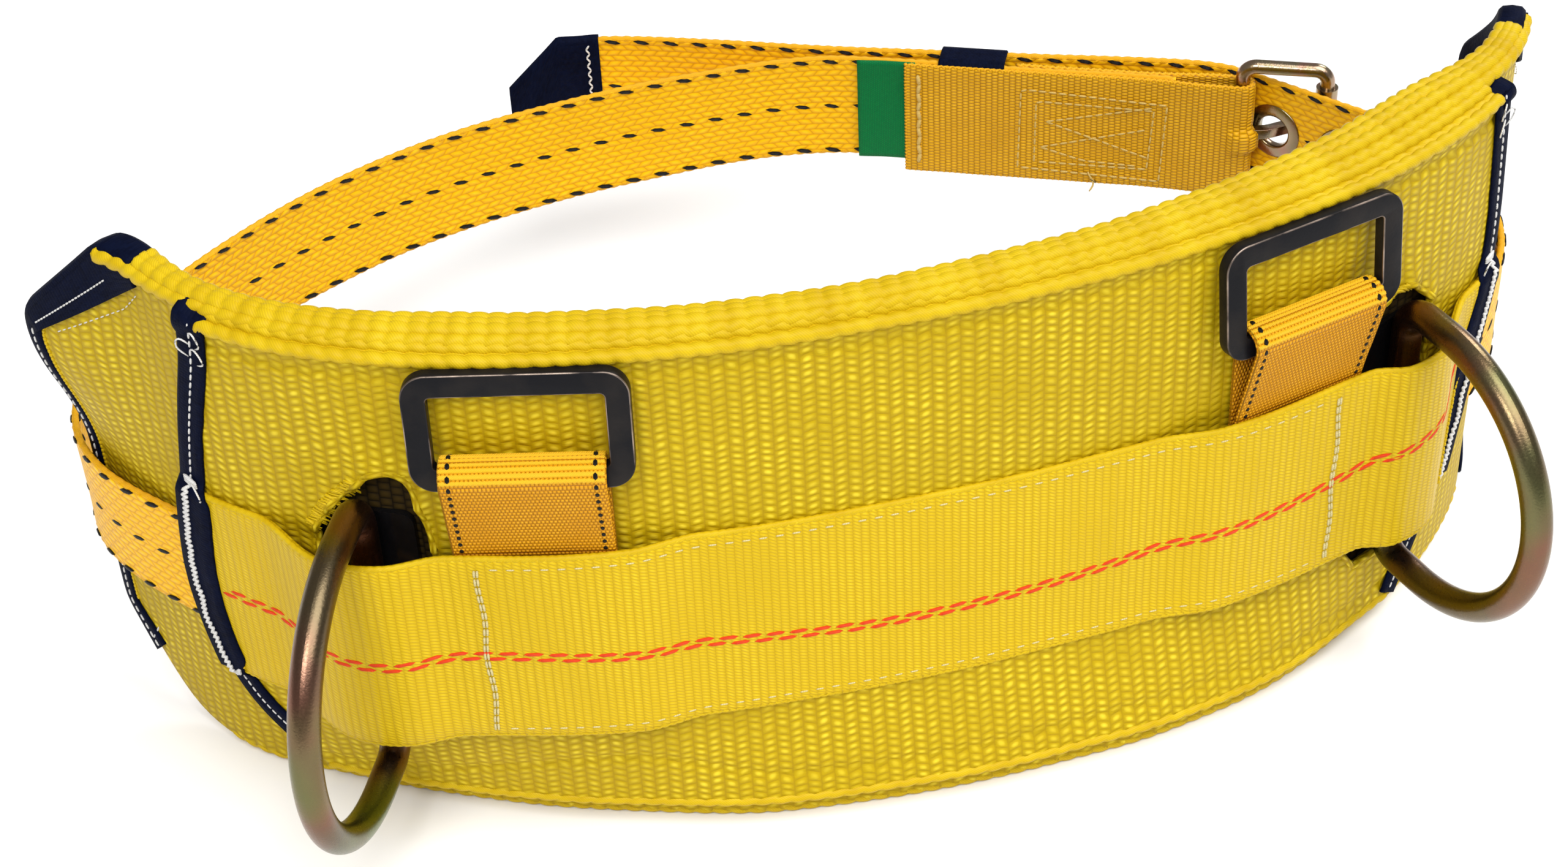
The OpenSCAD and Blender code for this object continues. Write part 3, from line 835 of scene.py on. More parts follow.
def opening_rims():
    """The webbing's rolled edge round each opening."""
    shape = Shape()
    for at, outline in zip(D_PLACES, OUTLINES):
        out = outward(at)
        line = [outer_point(s, z) - out * 0.9 for s, z in spaced(outline + outline[:1], 1.5)[0]]
        shape.tube(line, 1.35, 8, up=out)
    shape.piece("opening_rims", PAD, "pad_webbing")


inner_pads()
outer_layer()
opening_rims()
opening_painted_shades()
selvedges()


# ---- Load strap ----

def on_strap(s, z, lift=0.0):
    """A point of the load strap's outer face."""
    pinch = -0.3 * smooth((abs(z - (LOAD_LOW + LOAD_HIGH) / 2) - 34) / 3)
    return on_pad(s, LOAD[1] + over_all(s) + lean(s, z, OUTER_SHARE) + pinch + lift, z)


def load_strap():
    """The strap and its woven edges."""
    grid = outer_grid(9, LOAD_LOW + 0.8, LOAD_HIGH - 0.8, 240, 44)
    sheet("load_strap_webbing", LOAD_PAINT, grid, on_strap, LOAD[1] - LOAD[0],
          replaces=["load_strap"])
    shape = Shape()
    for z, hand in ((LOAD_LOW + 1.2, 1), (LOAD_HIGH - 1.2, -1)):
        span = (edge(LEFT, z) + 10, edge(RIGHT, z) - 10)
        beads(shape, span, lambda s: (LOAD[0] + 1.2 + over_all(s) + lean(s, z, OUTER_SHARE), z),
              1.15, 2.4, 0.0, hand)
    for side in (LEFT, RIGHT):
        for z in np.arange(LOAD_LOW + 3, LOAD_HIGH - 2, 1.5):
            s = edge(side, z) + 11.2 * INWARD[side]
            end = on_strap(s + random.uniform(-0.5, 0.5), z + 1.7, 0.2)
            shape.stitch(on_strap(s, z, 0.1), end, 0.6)
    shape.piece("load_strap_edges", CORD, "load_webbing")


# The tracer's height along the load strap: [place, z]
TRACER = ((-231, 88), (-190, 87), (-165, 86), (-139, 87), (-100, 85), (-60, 82), (-20, 79),
          (27, 79), (82, 83), (138, 87), (160, 92), (178, 97), (205, 106))


def strap_tracer():
    """Two rows of slanting orange floats."""
    shape = Shape()
    length, width, pitch = 6.2, 1.6, 7.3
    outline = ((0, -0.2), (0.18, 0.32), (0.75, 0.55), (1, 0.2), (0.82, -0.32), (0.25, -0.55))
    rows_apart = 2.3
    for row in (0, 1):
        for s in np.arange(-226 + row * pitch / 2, 203, pitch):
            places = [s + a * length for a, b in outline]
            heights = [glide(TRACER, place) + b * width + rows_apart * (row - 0.5)
                       for place, (a, b) in zip(places, outline)]
            corners = [on_strap(place, z, 0.02) for place, z in zip(places, heights)]
            shape.patch(corners, outward(s), 0.22)
    shape.piece("load_strap_tracer", ORANGE_YARN, "load_webbing")


def strap_stitching():
    """A double upright seam over each ring loop's outer part, and fine seams between them."""
    shape = Shape()
    seams = (-138, 136)
    for s in seams:
        for shift in (0, 0.9):
            line = [on_strap(s + shift + 0.5 * math.sin(z / 5), z, 0.25)
                    for z in np.arange(LOAD_LOW + 4, LOAD_HIGH - 4, 2)]
            stitch_line(shape, line, 3.4, 2.9, 0.45)
    for z in (LOAD_LOW + 4.5, LOAD_HIGH - 4.5):
        line = [on_strap(s, z, 0.06) for s in np.arange(seams[0] + 4, seams[1] - 4, 3)]
        stitch_line(shape, line, 5.2, 2.6, 0.28)
    shape.piece("load_strap_stitching", PALE, "load_webbing")


load_strap()
strap_tracer()
strap_stitching()


# ---- Waist belt ----

BUCKLE_AT = np.array(HINGES["buckle_rock"]["pos_m"][:2]) / MM
TIP_BAR = np.array(HINGES["roller_spin"]["pos_m"][:2]) / MM
BUCKLE_L = float(np.linalg.norm(TIP_BAR - BUCKLE_AT))
AHEAD = (TIP_BAR - BUCKLE_AT) / BUCKLE_L
BUCKLE_TURN = math.degrees(math.atan2(AHEAD[1], AHEAD[0]))
PASS_OUT, PASS_IN = 9.0, -7.5
CROSSING = 180 + BUCKLE_TURN - math.degrees(math.atan2(PASS_OUT - PASS_IN, BUCKLE_L))


def buckle_point(a, b):
    """A place on the buckle line: a towards the tip bar, b away from the body."""
    return BUCKLE_AT + a * AHEAD + b * np.array([-AHEAD[1], AHEAD[0]])


def knot(point, heading):
    return (point[0], point[1], heading)


def exit_knot(s, reverse):
    x, y = on_pad(s, BELT_MIDDLE, 0)[:2]
    return (x, y, math.degrees(pad_at(s)[2]) + (180 if reverse else 0))


def hermite(a, b, t):
    """The place a share t of the way between two [x, y, heading] knots."""
    reach = math.hypot(b[0] - a[0], b[1] - a[1])
    da, db = (reach * np.array([math.cos(math.radians(k[2])), math.sin(math.radians(k[2]))])
              for k in (a, b))
    return ((2 * t**3 - 3 * t**2 + 1) * np.array(a[:2]) + (3 * t**2 - 2 * t**3) * np.array(b[:2])
            + (t**3 - 2 * t**2 + t) * da + (t**3 - t**2) * db)


def course(knots):
    """A smooth line through [x, y, heading] knots."""
    shares = np.arange(16) / 16
    points = [hermite(a, b, t) for a, b in zip(knots, knots[1:]) for t in shares]
    return points + [np.array(knots[-1][:2])]


LEFT_COURSE = course([exit_knot(OUTER_ENDS[LEFT], True), (-255, 138, 92), (-209, 218, 42),
                      (-125, 269, 20), (0, 288.5, 0), knot(buckle_point(-150, 0), BUCKLE_TURN)])
LEFT_COURSE.append(buckle_point(-25, 0))
SIDE_COURSE = course([exit_knot(OUTER_ENDS[RIGHT], False), (244, 95, 72), (250, 137, 92),
                      knot(buckle_point(BUCKLE_L, PASS_IN), CROSSING)])
FREE_COURSE = course([knot(buckle_point(BUCKLE_L, PASS_IN), CROSSING),
                      knot(buckle_point(0, PASS_OUT), CROSSING),
                      knot(buckle_point(-28, 13), 156), (62, 286, 157), (-29, 326, 162),
                      (-70, 334, 170)])
TIP_CUT = 20


def belt_line():
    """The whole belt in plan, from the buckle strap round the back to the free end."""
    inside = [on_pad(s, BELT_MIDDLE + over_bar(s), 0)[:2]
              for s in np.arange(OUTER_ENDS[LEFT] + 4, OUTER_ENDS[RIGHT] - 3, 4)]
    return LEFT_COURSE[::-1] + inside + SIDE_COURSE + FREE_COURSE[1:]


GROMMET_R = 6.35
GROMMET_PITCH = 31
GROMMET_FROM_HEEL = 13.5
FLANGE_R = 12


def at_run(table, u):
    """Place and outward direction of the belt at a run length: [x, y, outward x, outward y]."""
    return between(u, table[:, 0], table[:, 1:])


def belt_wave(u, z):
    """How far the soft belt sways away from its course."""
    return 0.7 * noise.noise(Vector((u / 40, z / 30, 5)))


def waist_belt():
    """The belt with its grommet holes, its woven edges, tracers and grommets."""
    line = belt_line()
    table = course_stations(line)
    end = table[-1][0]
    crossing = table[len(line) - len(FREE_COURSE[1:]) - 1][0]
    slope = math.hypot(BUCKLE_L, PASS_OUT - PASS_IN)
    first = crossing + (1 - GROMMET_FROM_HEEL / BUCKLE_L) * slope
    holes = [first + k * GROMMET_PITCH for k in range(-2, 3)]

    def top(u):
        return BELT_HIGH - max(0.0, u - end + TIP_CUT)

    def place(u, z, lift=0.0):
        x, y, nx, ny = at_run(table, u)
        lift += HALF_BELT + belt_wave(u, z) - 0.25 * smooth((abs(z - BELT_Z) - 19.5) / 2.5)
        return np.array([x + nx * lift, y + ny * lift, z])

    def keep(u, z):
        return min(math.hypot(u - hole, z - BELT_Z) for hole in holes) > GROMMET_R + 1.0

    grid = [[(u, z) for z in np.linspace(BELT_LOW + 0.3, top(u) - 0.3, 31)]
            for u in np.linspace(0.5, end, 720)]
    sheet("waist_belt_webbing", BELT_PAINT, grid, place, 2 * HALF_BELT, keep,
          ["waist_belt"])
    edges = Shape()
    for z in (BELT_LOW + 0.9, BELT_HIGH - 0.9):
        line = [place(u, z, -HALF_BELT) for u in np.arange(2, end - 30, 1.3)]
        scale = [0.75 + 0.35 * abs(math.sin(n * 0.9)) for n in range(len(line))]
        edges.tube(line, 1.25, 6, scale)
    edges.piece("waist_belt_edges", BELT_CORD, "belt_webbing")
    belt_tracers(table, keep, place)
    grommets(table, holes, place)
    return table


def belt_tracers(table, keep, place):
    """Three rows of slanting black floats on each face, the outer two a little higher."""
    shape = Shape()
    length, width, pitch = 6.4, 1.9, 11.8
    outline = ((0, -0.35), (0.25, 0.25), (0.7, 0.55), (1, 0.35), (0.75, -0.25), (0.3, -0.55))
    for z, raised in ((BELT_LOW + 1.7, 0.35), (BELT_Z, 0.0), (BELT_HIGH - 1.7, 0.35)):
        for u in np.arange(3, table[-1][0] - 44, pitch):
            if not keep(u, z) or not keep(u + length, z):
                continue
            nx, ny = at_run(table, u)[2:]
            for face in (1, -1):
                lift = (HALF_BELT + 0.05 + raised) * face - HALF_BELT
                corners = [place(u + a * length, z + b * width, lift) for a, b in outline]
                shape.patch(corners, (face * nx, face * ny, 0), 0.25)
    shape.piece("waist_belt_tracers", BLACK_YARN, "belt_webbing")


def grommets(table, holes, place):
    """Five grommets: a rolled rim on one face, a flat washer on the other."""
    shape = Shape()
    half = HALF_BELT
    rim = [(GROMMET_R, 0.0), (GROMMET_R, half), (GROMMET_R + 0.5, half + 0.75),
           (GROMMET_R + 1.6, half + 1.15), (GROMMET_R + 3.0, half + 0.95),
           (FLANGE_R - 0.7, half + 0.55), (FLANGE_R, half + 0.15), (FLANGE_R - 0.6, half - 0.1),
           (GROMMET_R + 1.2, half - 0.1), (GROMMET_R + 1.2, -half + 0.1),
           (FLANGE_R - 1.1, -half + 0.1), (FLANGE_R - 0.5, -half - 0.3),
           (FLANGE_R - 1.0, -half - 0.6), (GROMMET_R + 2.6, -half - 0.7),
           (GROMMET_R + 1.2, -half - 1.0), (GROMMET_R + 0.4, -half - 0.7), (GROMMET_R, -half)]
    turns = 40
    for hole in holes:
        nx, ny = at_run(table, hole)[2:]
        middle = place(hole, BELT_Z, -half)
        out = np.array([nx, ny, 0])
        along = np.array([-ny, nx, 0])
        up = np.array([0, 0, 1.0])
        aways = [along * math.cos(t) + up * math.sin(t)
                 for t in 2 * math.pi * np.arange(turns + 1) / turns]
        rows = [[middle + away * r + out * h for r, h in rim] for away in aways]
        weave = [[(n, k) for k in range(len(rim) + 1)] for n in range(turns + 1)]
        shape.skin(rows, weave, wrap=True)
    shape.weld = 0.001
    shape.piece("belt_grommets", BUCKLE_STEEL, "buckle_steel",
                ["grommet_barrels", "grommet_washers"])


BELT_STATIONS = waist_belt()


def belt_tip():
    """The folded tape on the free end, cut off at its upper corner and stitched across."""
    end = BELT_STATIONS[-1][0]
    cover = [row for row in BELT_STATIONS if row[0] > end - 38]
    beyond = cover[-1] + (1.0, -cover[-1][4], cover[-1][3], 0, 0)
    fine = [a * (1 - t) + b * t for a, b in zip(cover, cover[1:] + [beyond]) for t in (0, 0.5)]
    around = 1.2
    thick = HALF_BELT + around
    shape = Shape()
    band(shape, fine + [beyond], -thick, thick, lambda u: BELT_LOW - around,
         lambda u: BELT_HIGH + around - max(0.0, u - end + TIP_CUT),
         lambda u, z: 0.7 * noise.noise(Vector((u / 9, z / 14, 3))), 12)
    shape.piece("belt_tip_tape", NAVY, "navy_tape", ["belt_tip"])
    seam = Shape()
    x, y, nx, ny = fine[4][1:]
    for lift in (-thick - 0.15, thick + 0.15):
        line = [(x + nx * lift + ny * 1.4 * (k % 2), y + ny * lift - nx * 1.4 * (k % 2), z)
                for k, z in enumerate(np.arange(BELT_LOW + 2, BELT_HIGH - 1, 1.9))]
        for a, b in zip(line, line[1:]):
            seam.stitch(a, b, 0.4)
    seam.piece("belt_tip_stitching", WHITE, "navy_tape")


belt_tip()


# ---- Bindings ----

class Fold:
    """A tape folded over the edge of one or more layers, along a line of (s, z) corners."""

    def __init__(self, corners, side, faces, shares, widths, under=None):
        self.line, self.run = spaced(rounded(corners), 2.0)
        self.faces, self.shares, self.widths, self.under = faces, shares, widths, under
        ahead = directions(self.line)
        inward = np.stack([-ahead[:, 1], ahead[:, 0]], 1)
        self.inward = inward * np.sign((inward[:, 0] * INWARD[side]).mean())

    def at(self, i, e, face, lift=0.0):
        """The point e inward from the edge; face is 0 on the body side and 1 outside."""
        s, z = self.line[i] + self.inward[i] * e
        raised = self.under(z) * face if self.under else 0.0
        offset = self.faces[0] * (1 - face) + (self.faces[1] + raised) * face
        share = self.shares[0] * (1 - face) + self.shares[1] * face
        return on_pad(s, offset + lean(s, z, share) + lift, z)

    def width(self, i):
        run = self.run[i]
        return glide(self.widths, run) + 0.3 * noise.noise(Vector((run / 7, 0, 1)))

    def section(self, i):
        """The tape's outline across the edge: out along one face and back along the other."""
        crown = 0.35
        wide = self.width(i)
        high_part = TAPE + crown + crown * noise.noise(Vector((self.run[i] / 9, 4, self.faces[1])))
        return [(wide, 1, 0.1), (wide * 0.97, 1, TAPE), (wide * 0.75, 1, high_part),
                (wide * 0.52, 1, TAPE + crown * 0.3), (wide * 0.3, 1, high_part),
                (0.3, 1, TAPE + 0.3), (-0.9, 0.85, TAPE), (-1.3, 0.5, 0), (-0.9, 0.15, -TAPE),
                (0.3, 0, -TAPE - 0.3), (wide * 0.4, 0, -TAPE - crown), (wide, 0, -TAPE),
                (wide, 0, -0.1), (0.2, 0, -0.1), (0.2, 1, 0.1)]

    def skin(self, shape):
        points, weave = [], []
        for i in range(len(self.line)):
            ring = self.section(i)
            points.append([self.at(i, e, face, lift) for e, face, lift in ring])
            weave.append([(self.run[i], 1.8 * k) for k in range(len(ring) + 1)])
        shape.skin(points, weave, wrap=True, caps=True)

    def seam(self, shape, e, start, stop=math.inf, pitch=3.4, length=2.5, radius=0.36,
             lift=1.2):
        """A running stitch e inward from the edge, or beyond the tape where e is negative."""
        line = [self.at(i, e if e > 0 else self.width(i) - e, 1, lift)
                for i in range(len(self.line)) if start <= self.run[i] <= stop]
        stitch_line(shape, line, pitch, length, radius)


def tail(shape, start, steps, radius):
    """A loose thread from a point through relative steps, rounded."""
    line = rounded(np.cumsum([start, *steps], axis=0), 3.0, 5)
    shape.tube(line, radius, 5, [0.5] + [1.0] * (len(line) - 2) + [0.5])


def strap_under(z):
    """How far the load strap's end lifts the outer tape."""
    return 2.8 * smooth((z - LOAD_LOW + 3) / 4) * smooth((LOAD_HIGH + 3 - z) / 4)


def inner_binding(side, name):
    """Tape round the end of the two inner layers, wide over the cut corners."""
    inward = INWARD[side]
    end = PAD_ENDS[side]
    cut_s, cut_z = end + inward * CHAMFER[0], CHAMFER[1]
    foot = (end + inward * 15, cut_z - 15) if side == LEFT else (cut_s, 1)
    over = 16
    corner = over + math.hypot(*CHAMFER)
    side_run = corner + PAD_TOP - 2 * cut_z
    widths = ((0, 8), (over, 9), (corner - 4, 9), (corner + 8, 7), (side_run, 7),
              (side_run + 30, 9))
    tape = Fold([(cut_s + inward * over, PAD_TOP - 1.5), (cut_s, PAD_TOP - 1),
                 (end, PAD_TOP - cut_z), (end, cut_z), foot],
                side, (INNER[0], MIDDLE[1]), (INNER_SHARE, MIDDLE_SHARE), widths)
    tapes, seams, yarn = Shape(), Shape(), Shape()
    tape.skin(tapes)
    tape.seam(seams, 3.6, corner + 4)
    corner_cover(side, name, seams)
    tape.seam(yarn, -0.3, corner - 8, side_run, 1.7, 1.9, 0.55, 0.05)
    if side == LEFT:
        tail(seams, tape.at(len(tape.line) - 3, 4, 1, 1.3),
             ((2, -1, 4), (3, -2, 7), (4, -1, 4), (-1, -1, -5)), 0.4)
    tapes.piece(f"inner_binding_{name}_tape", NAVY, "navy_tape", [f"inner_binding_{name}"])
    seams.piece(f"inner_binding_{name}_stitching", WHITE, "navy_tape")
    yarn.piece(f"inner_binding_{name}_yarn", CORD, "pad_webbing")


def corner_cover(side, name, seams):
    """The wide cover over a cut corner, with t along its edge and u inward from it."""
    inward = INWARD[side]
    end = PAD_ENDS[side]
    cut_s, cut_z = end + inward * CHAMFER[0], CHAMFER[1]
    length, width = 50, 20
    shares = (0, 0.75, 1)
    rim = ((end + inward * 2, PAD_TOP - cut_z - 2), (cut_s, PAD_TOP - 3),
           (cut_s + inward * 16, PAD_TOP - 4))
    inner = ((end + inward * 6, PAD_TOP - cut_z - 7), (cut_s + inward * 18, PAD_TOP - 9))

    def place(t, u, lift=0.0):
        along, share = t / length, u / width
        s, z = ((1 - share) * np.interp(along, shares, [p[k] for p in rim])
                + share * np.interp(along, (0, 1), [p[k] for p in inner]) for k in (0, 1))
        swell = 0.4 * noise.noise(Vector((t / 16, u / 10, 7)))
        return on_pad(s, MIDDLE[1] + 1.0 + swell + lean(s, z, MIDDLE_SHARE) + lift, z)

    grid = [[(t, u) for u in np.linspace(0, width, 14)] for t in np.linspace(0, length, 34)]
    sheet(f"inner_binding_{name}_cover", NAVY, grid, place, TAPE * inward)
    stitch_line(seams, [place(t, 12, 1.1) for t in np.arange(3, 38, 2)], 1.8, 1.4, 0.3)
    stitch_line(seams, [place(t, 26, -0.5) for t in np.arange(8, 50, 2)], 2.8, 1.7, 0.22)


def bartack(shape, fold, start, stop):
    """A thick messy zigzag along a tape."""
    rows = [i for i in range(len(fold.line)) if start <= fold.run[i] <= stop]
    points = []
    for k, i in enumerate(np.repeat(rows, 2)):
        wander = 1.3 * noise.noise(Vector((k / 9, 0, 1)))
        points.append(fold.at(i, 5.0 + wander + (0.9 if k % 2 else -0.9), 1, 1.5))
    for a, b in zip(points, points[1:]):
        shape.stitch(a, b + (b - a) * 0.25, 0.6)


def outer_binding(side, name):
    """Tape round the slanting end of the outer layer and the load strap's end."""
    low_end, high_end = OUTER_BOTTOM + (11 if side == LEFT else 1), OUTER_TOP + 1
    corners = [(edge(side, z), z) for z in np.linspace(high_end, low_end, 13)]
    top_run, foot_run = high_end - LOAD_HIGH, high_end - LOAD_LOW
    widths = ((0, 9.5), (top_run - 4, 9.5), (top_run + 4, 13.5), (foot_run - 2, 13),
              (foot_run + 8, 8.5))
    tape = Fold(corners, side, OUTER, (OUTER_SHARE, OUTER_SHARE), widths, strap_under)
    tapes, seams = Shape(), Shape()
    tape.skin(tapes)
    tape.seam(seams, 4.6, 0, top_run)
    tape.seam(seams, 4.6, foot_run + 8, math.inf, 2.6, 2.0, 0.3)
    bartack(seams, tape, top_run - 3, foot_run + 7)
    out = outward(edge(side, 100)) * 1.6
    for run, reach in ((4, 5.0), (7, -4.0), (10, 6.0), (top_run - 2, 7.0)):
        i = int(np.searchsorted(tape.run, run))
        start = tape.at(i, 4.5, 1, 1.3)
        aside = (tape.at(i, 5.5, 1, 1.3) - start) * reach
        tail(seams, start, (aside * 0.6 + out + (0, 0, 3), aside * 0.5 + (0, 0, -5),
                            -aside * 0.8 - out + (0, 0, -3)), 0.3)
    for run in (top_run - 3, foot_run + 6):
        i = int(np.searchsorted(tape.run, run))
        a, b = tape.at(i, 2.2, 1, 1.5), tape.at(i, 8.5, 1, 1.5)
        for k in range(3):
            seams.stitch(a + (0, 0, k * 0.9), b + (0, 0, k * 0.7 + INWARD[side] * 0.6), 0.65)
    tapes.piece(f"outer_binding_{name}_tape", NAVY, "navy_tape", [f"outer_binding_{name}"])
    seams.piece(f"outer_binding_{name}_stitching", WHITE, "navy_tape")
    tape_hood(side, f"outer_binding_{name}_hood")


def tape_hood(side, name):
    """The folded end of a tape, standing up in a peak and curling over the edge."""
    rise, width = (11.5, 9.5) if side == LEFT else (8.5, 6.5)
    foot = OUTER_TOP - 5
    depth = 12
    grid = [[(a, b) for b in np.linspace(0, depth, 13)] for a in np.linspace(-1.2, width, 13)]

    def place(a, b):
        t = b / depth
        z = foot + t * (rise - 0.3 * (a + 1.2)) + 0.3 * math.sin(a * 0.9)
        arch = 1.2 * math.sin(math.pi * min(1.0, t * 1.3))
        curl = 0.3 + arch - 6.0 * smooth((t - 0.72) / 0.3)
        return on_pad(edge(side, foot) + INWARD[side] * (a - 0.3 + 0.8 * t), OUTER[1] + curl, z)

    sheet(name, NAVY, grid, place, TAPE * INWARD[side])


for side, name in enumerate(SIDES):
    inner_binding(side, name)
    outer_binding(side, name)


# ---- Ring loops and lifting rings ----

def ribbon(shape, centres, across, outs, width, thickness, rows=12):
    """A strip through centres: across is its width's direction, outs its outer face's."""
    r = thickness / 2
    flat = np.linspace(-width / 2 + r, width / 2 - r, rows)
    corner = width / 2 - 0.3 * r
    ring = [(w, r) for w in flat] + [(corner, 0.7 * r), (width / 2, 0), (corner, -0.7 * r)]
    ring += [(-w, -t) for w, t in ring]
    points = [[c + across * w + n * t for w, t in ring] for c, n in zip(centres, outs)]
    coords = [w if t >= 0 else 2 * width - w for w, t in ring]
    run = lengths(centres)
    weave = [[(u, v) for v in coords + [coords[0] + 4 * width]] for u in run]
    shape.skin(points, weave, wrap=True, caps=True)
    return run


LOOP_T = 1.5


def loop_path(side):
    """The loop's middle line in (offset, z): up the back, round the bar and down the front."""
    back = OUTER[1] + 0.3 + LOOP_T / 2
    pivot = np.array(HINGES[f"{SIDES[side]}_ring_flip"]["pos_m"]) / MM
    bar = math.hypot(7.5, 4.5) / 2 + 0.3 + LOOP_T / 2
    middle = back + bar
    line = [(back, z) for z in np.linspace(LOAD_LOW + 14, pivot[2] - 8, 12)]
    line += [(middle + bar * math.cos(t), pivot[2] + bar * math.sin(t))
             for t in np.linspace(math.pi * 1.08, -0.12, 22)]
    front = back + LOOP_T + 0.4
    fall = [(middle + bar, pivot[2] - 3), (front + 2.0, LOAD_HIGH + 5), (front, LOAD_HIGH - 6)]
    line += [tuple(p) for p in rounded(fall, 9, 5)[1:]]
    return line + [(front, z) for z in np.linspace(LOAD_HIGH - 10, LOAD_LOW + 14, 8)]


def on_plane(base, away, line):
    """Points of a line given in (away, z) from a base point."""
    return np.array([base + away * p[0] + (0, 0, p[1]) for p in line])


def ring_loop(side):
    """The loop's webbing, with raised cords over the ring's bar and a tracer on each side."""
    line = loop_path(side)
    x, y, heading = pad_at(RING_PLACES[side])
    away = np.array([math.sin(heading), -math.cos(heading), 0])
    along = np.array([math.cos(heading), math.sin(heading), 0])
    centres = on_plane(np.array([x, y, 0]), away, line)
    outs = on_plane(0.0, away, normals_of(line, (-1, 0)))
    shape = Shape()
    run = ribbon(shape, centres, along, outs, LOOP_W, LOOP_T)
    shape.piece(f"ring_loop_{SIDES[side]}_webbing", LOOP_PAINT, "loop_webbing",
                [f"ring_loop_{SIDES[side]}"])

    def at(u, w, lift):
        out = between(u, run, outs)
        return between(u, run, centres) + out * (LOOP_T / 2 + lift) + along * w

    cords, tracers = Shape(), Shape()
    top = run[int(np.argmax(centres[:, 2]))]
    edge_w = LOOP_W / 2
    for k, u in enumerate(np.arange(top - 5.4, top + 7, 1.7)):
        line = [at(u, w, -0.2) for w in np.linspace(-edge_w + 0.4, edge_w - 0.4, 72)]
        depth = 0.08 if k % 4 in (1, 2) else 0.3
        cords.tube(line, 0.88, 7, [1 - depth * (n % 2) for n in range(len(line))])
    cords.piece(f"ring_loop_{SIDES[side]}_cords", GOLD_YARN, "loop_webbing")
    outline = ((0, 0), (0.5, -0.65), (1.4, -0.65), (1.9, 0), (1.4, 0.65), (0.5, 0.65))
    for w in (-edge_w + 3.2, edge_w - 3.2):
        for u in np.arange(4, run[-1] - 4, 3.4):
            lift = 0.62 if abs(u - top) < 6.5 else 0.03
            corners = [at(u + du, w + dw, lift) for du, dw in outline]
            tracers.patch(corners, between(u, run, outs), 0.22)
    tracers.piece(f"ring_loop_{SIDES[side]}_tracers", BLACK_YARN, "loop_webbing")


def bevelled(node, name, body, material, worn, width):
    """A CAD part with its sharp edges worn round, in place of the node."""
    piece = add_object(name, frame["nodes"][node].data.copy())
    piece.data.materials.clear()
    piece.data.materials.append(material)
    piece.data.materials.append(worn)
    shape = bmesh.new()
    shape.from_mesh(piece.data)
    bmesh.ops.remove_doubles(shape, verts=shape.verts, dist=0.005 * MM)
    bmesh.ops.dissolve_limit(shape, angle_limit=0.02, verts=shape.verts, edges=shape.edges)
    shape.to_mesh(piece.data)
    shape.free()
    wear = piece.modifiers.new("wear", "BEVEL")
    wear.width = width * MM
    wear.segments = 3
    wear.limit_method = "ANGLE"
    wear.angle_limit = math.radians(40)
    wear.material = 1
    apply_modifiers(piece)
    piece.data.shade_smooth()
    settle(piece, [node], body)


for side, name in enumerate(SIDES):
    ring_loop(side)
    bevelled(f"link_ring_{name}", f"link_ring_{name}_worn", f"{name}_lifting_ring",
             BLACK_STEEL, WORN, 0.4)


# ---- Buckle strap, label and keeper loop ----

STRAP_T = 2.2


def strap_path():
    """The strap's middle line in (a, b): along the wearer's side, round the bar and back."""
    fold = 3.1 + STRAP_T / 2
    near = HALF_BELT + STRAP_T / 2 + 0.25

    def away(a):
        return near + (fold - near) * smooth((a + 40) / 34)

    line = [(a, -away(a)) for a in np.linspace(-131, -4, 44)]
    line += [(fold * math.sin(t), -fold * math.cos(t)) for t in np.linspace(0, math.pi, 14)]
    line += [(a, away(a)) for a in np.linspace(-4, -88, 30)]
    return np.array(line)


def strap_point(a, b, z):
    return np.array([*buckle_point(a, b), z])


STRAP_DROP = 2.6

# The box and cross stitching of the strap's near side, in (a, height on the strap)
STRAP_SEAMS = (
    ((-86, -19), (-85, 17), (-28, 14), (-30, -21), (-86, -19)),
    ((-79.5, -16), (-79, 12), (-33, 11), (-35, -16), (-79.5, -16)),
    ((-75, 3), (-31, 13)),
    ((-75, 3), (-34, -11)),
    ((-77, -9), (-33, 3)),
    ((-77, -9), (-60, -14), (-38, -15)),
)


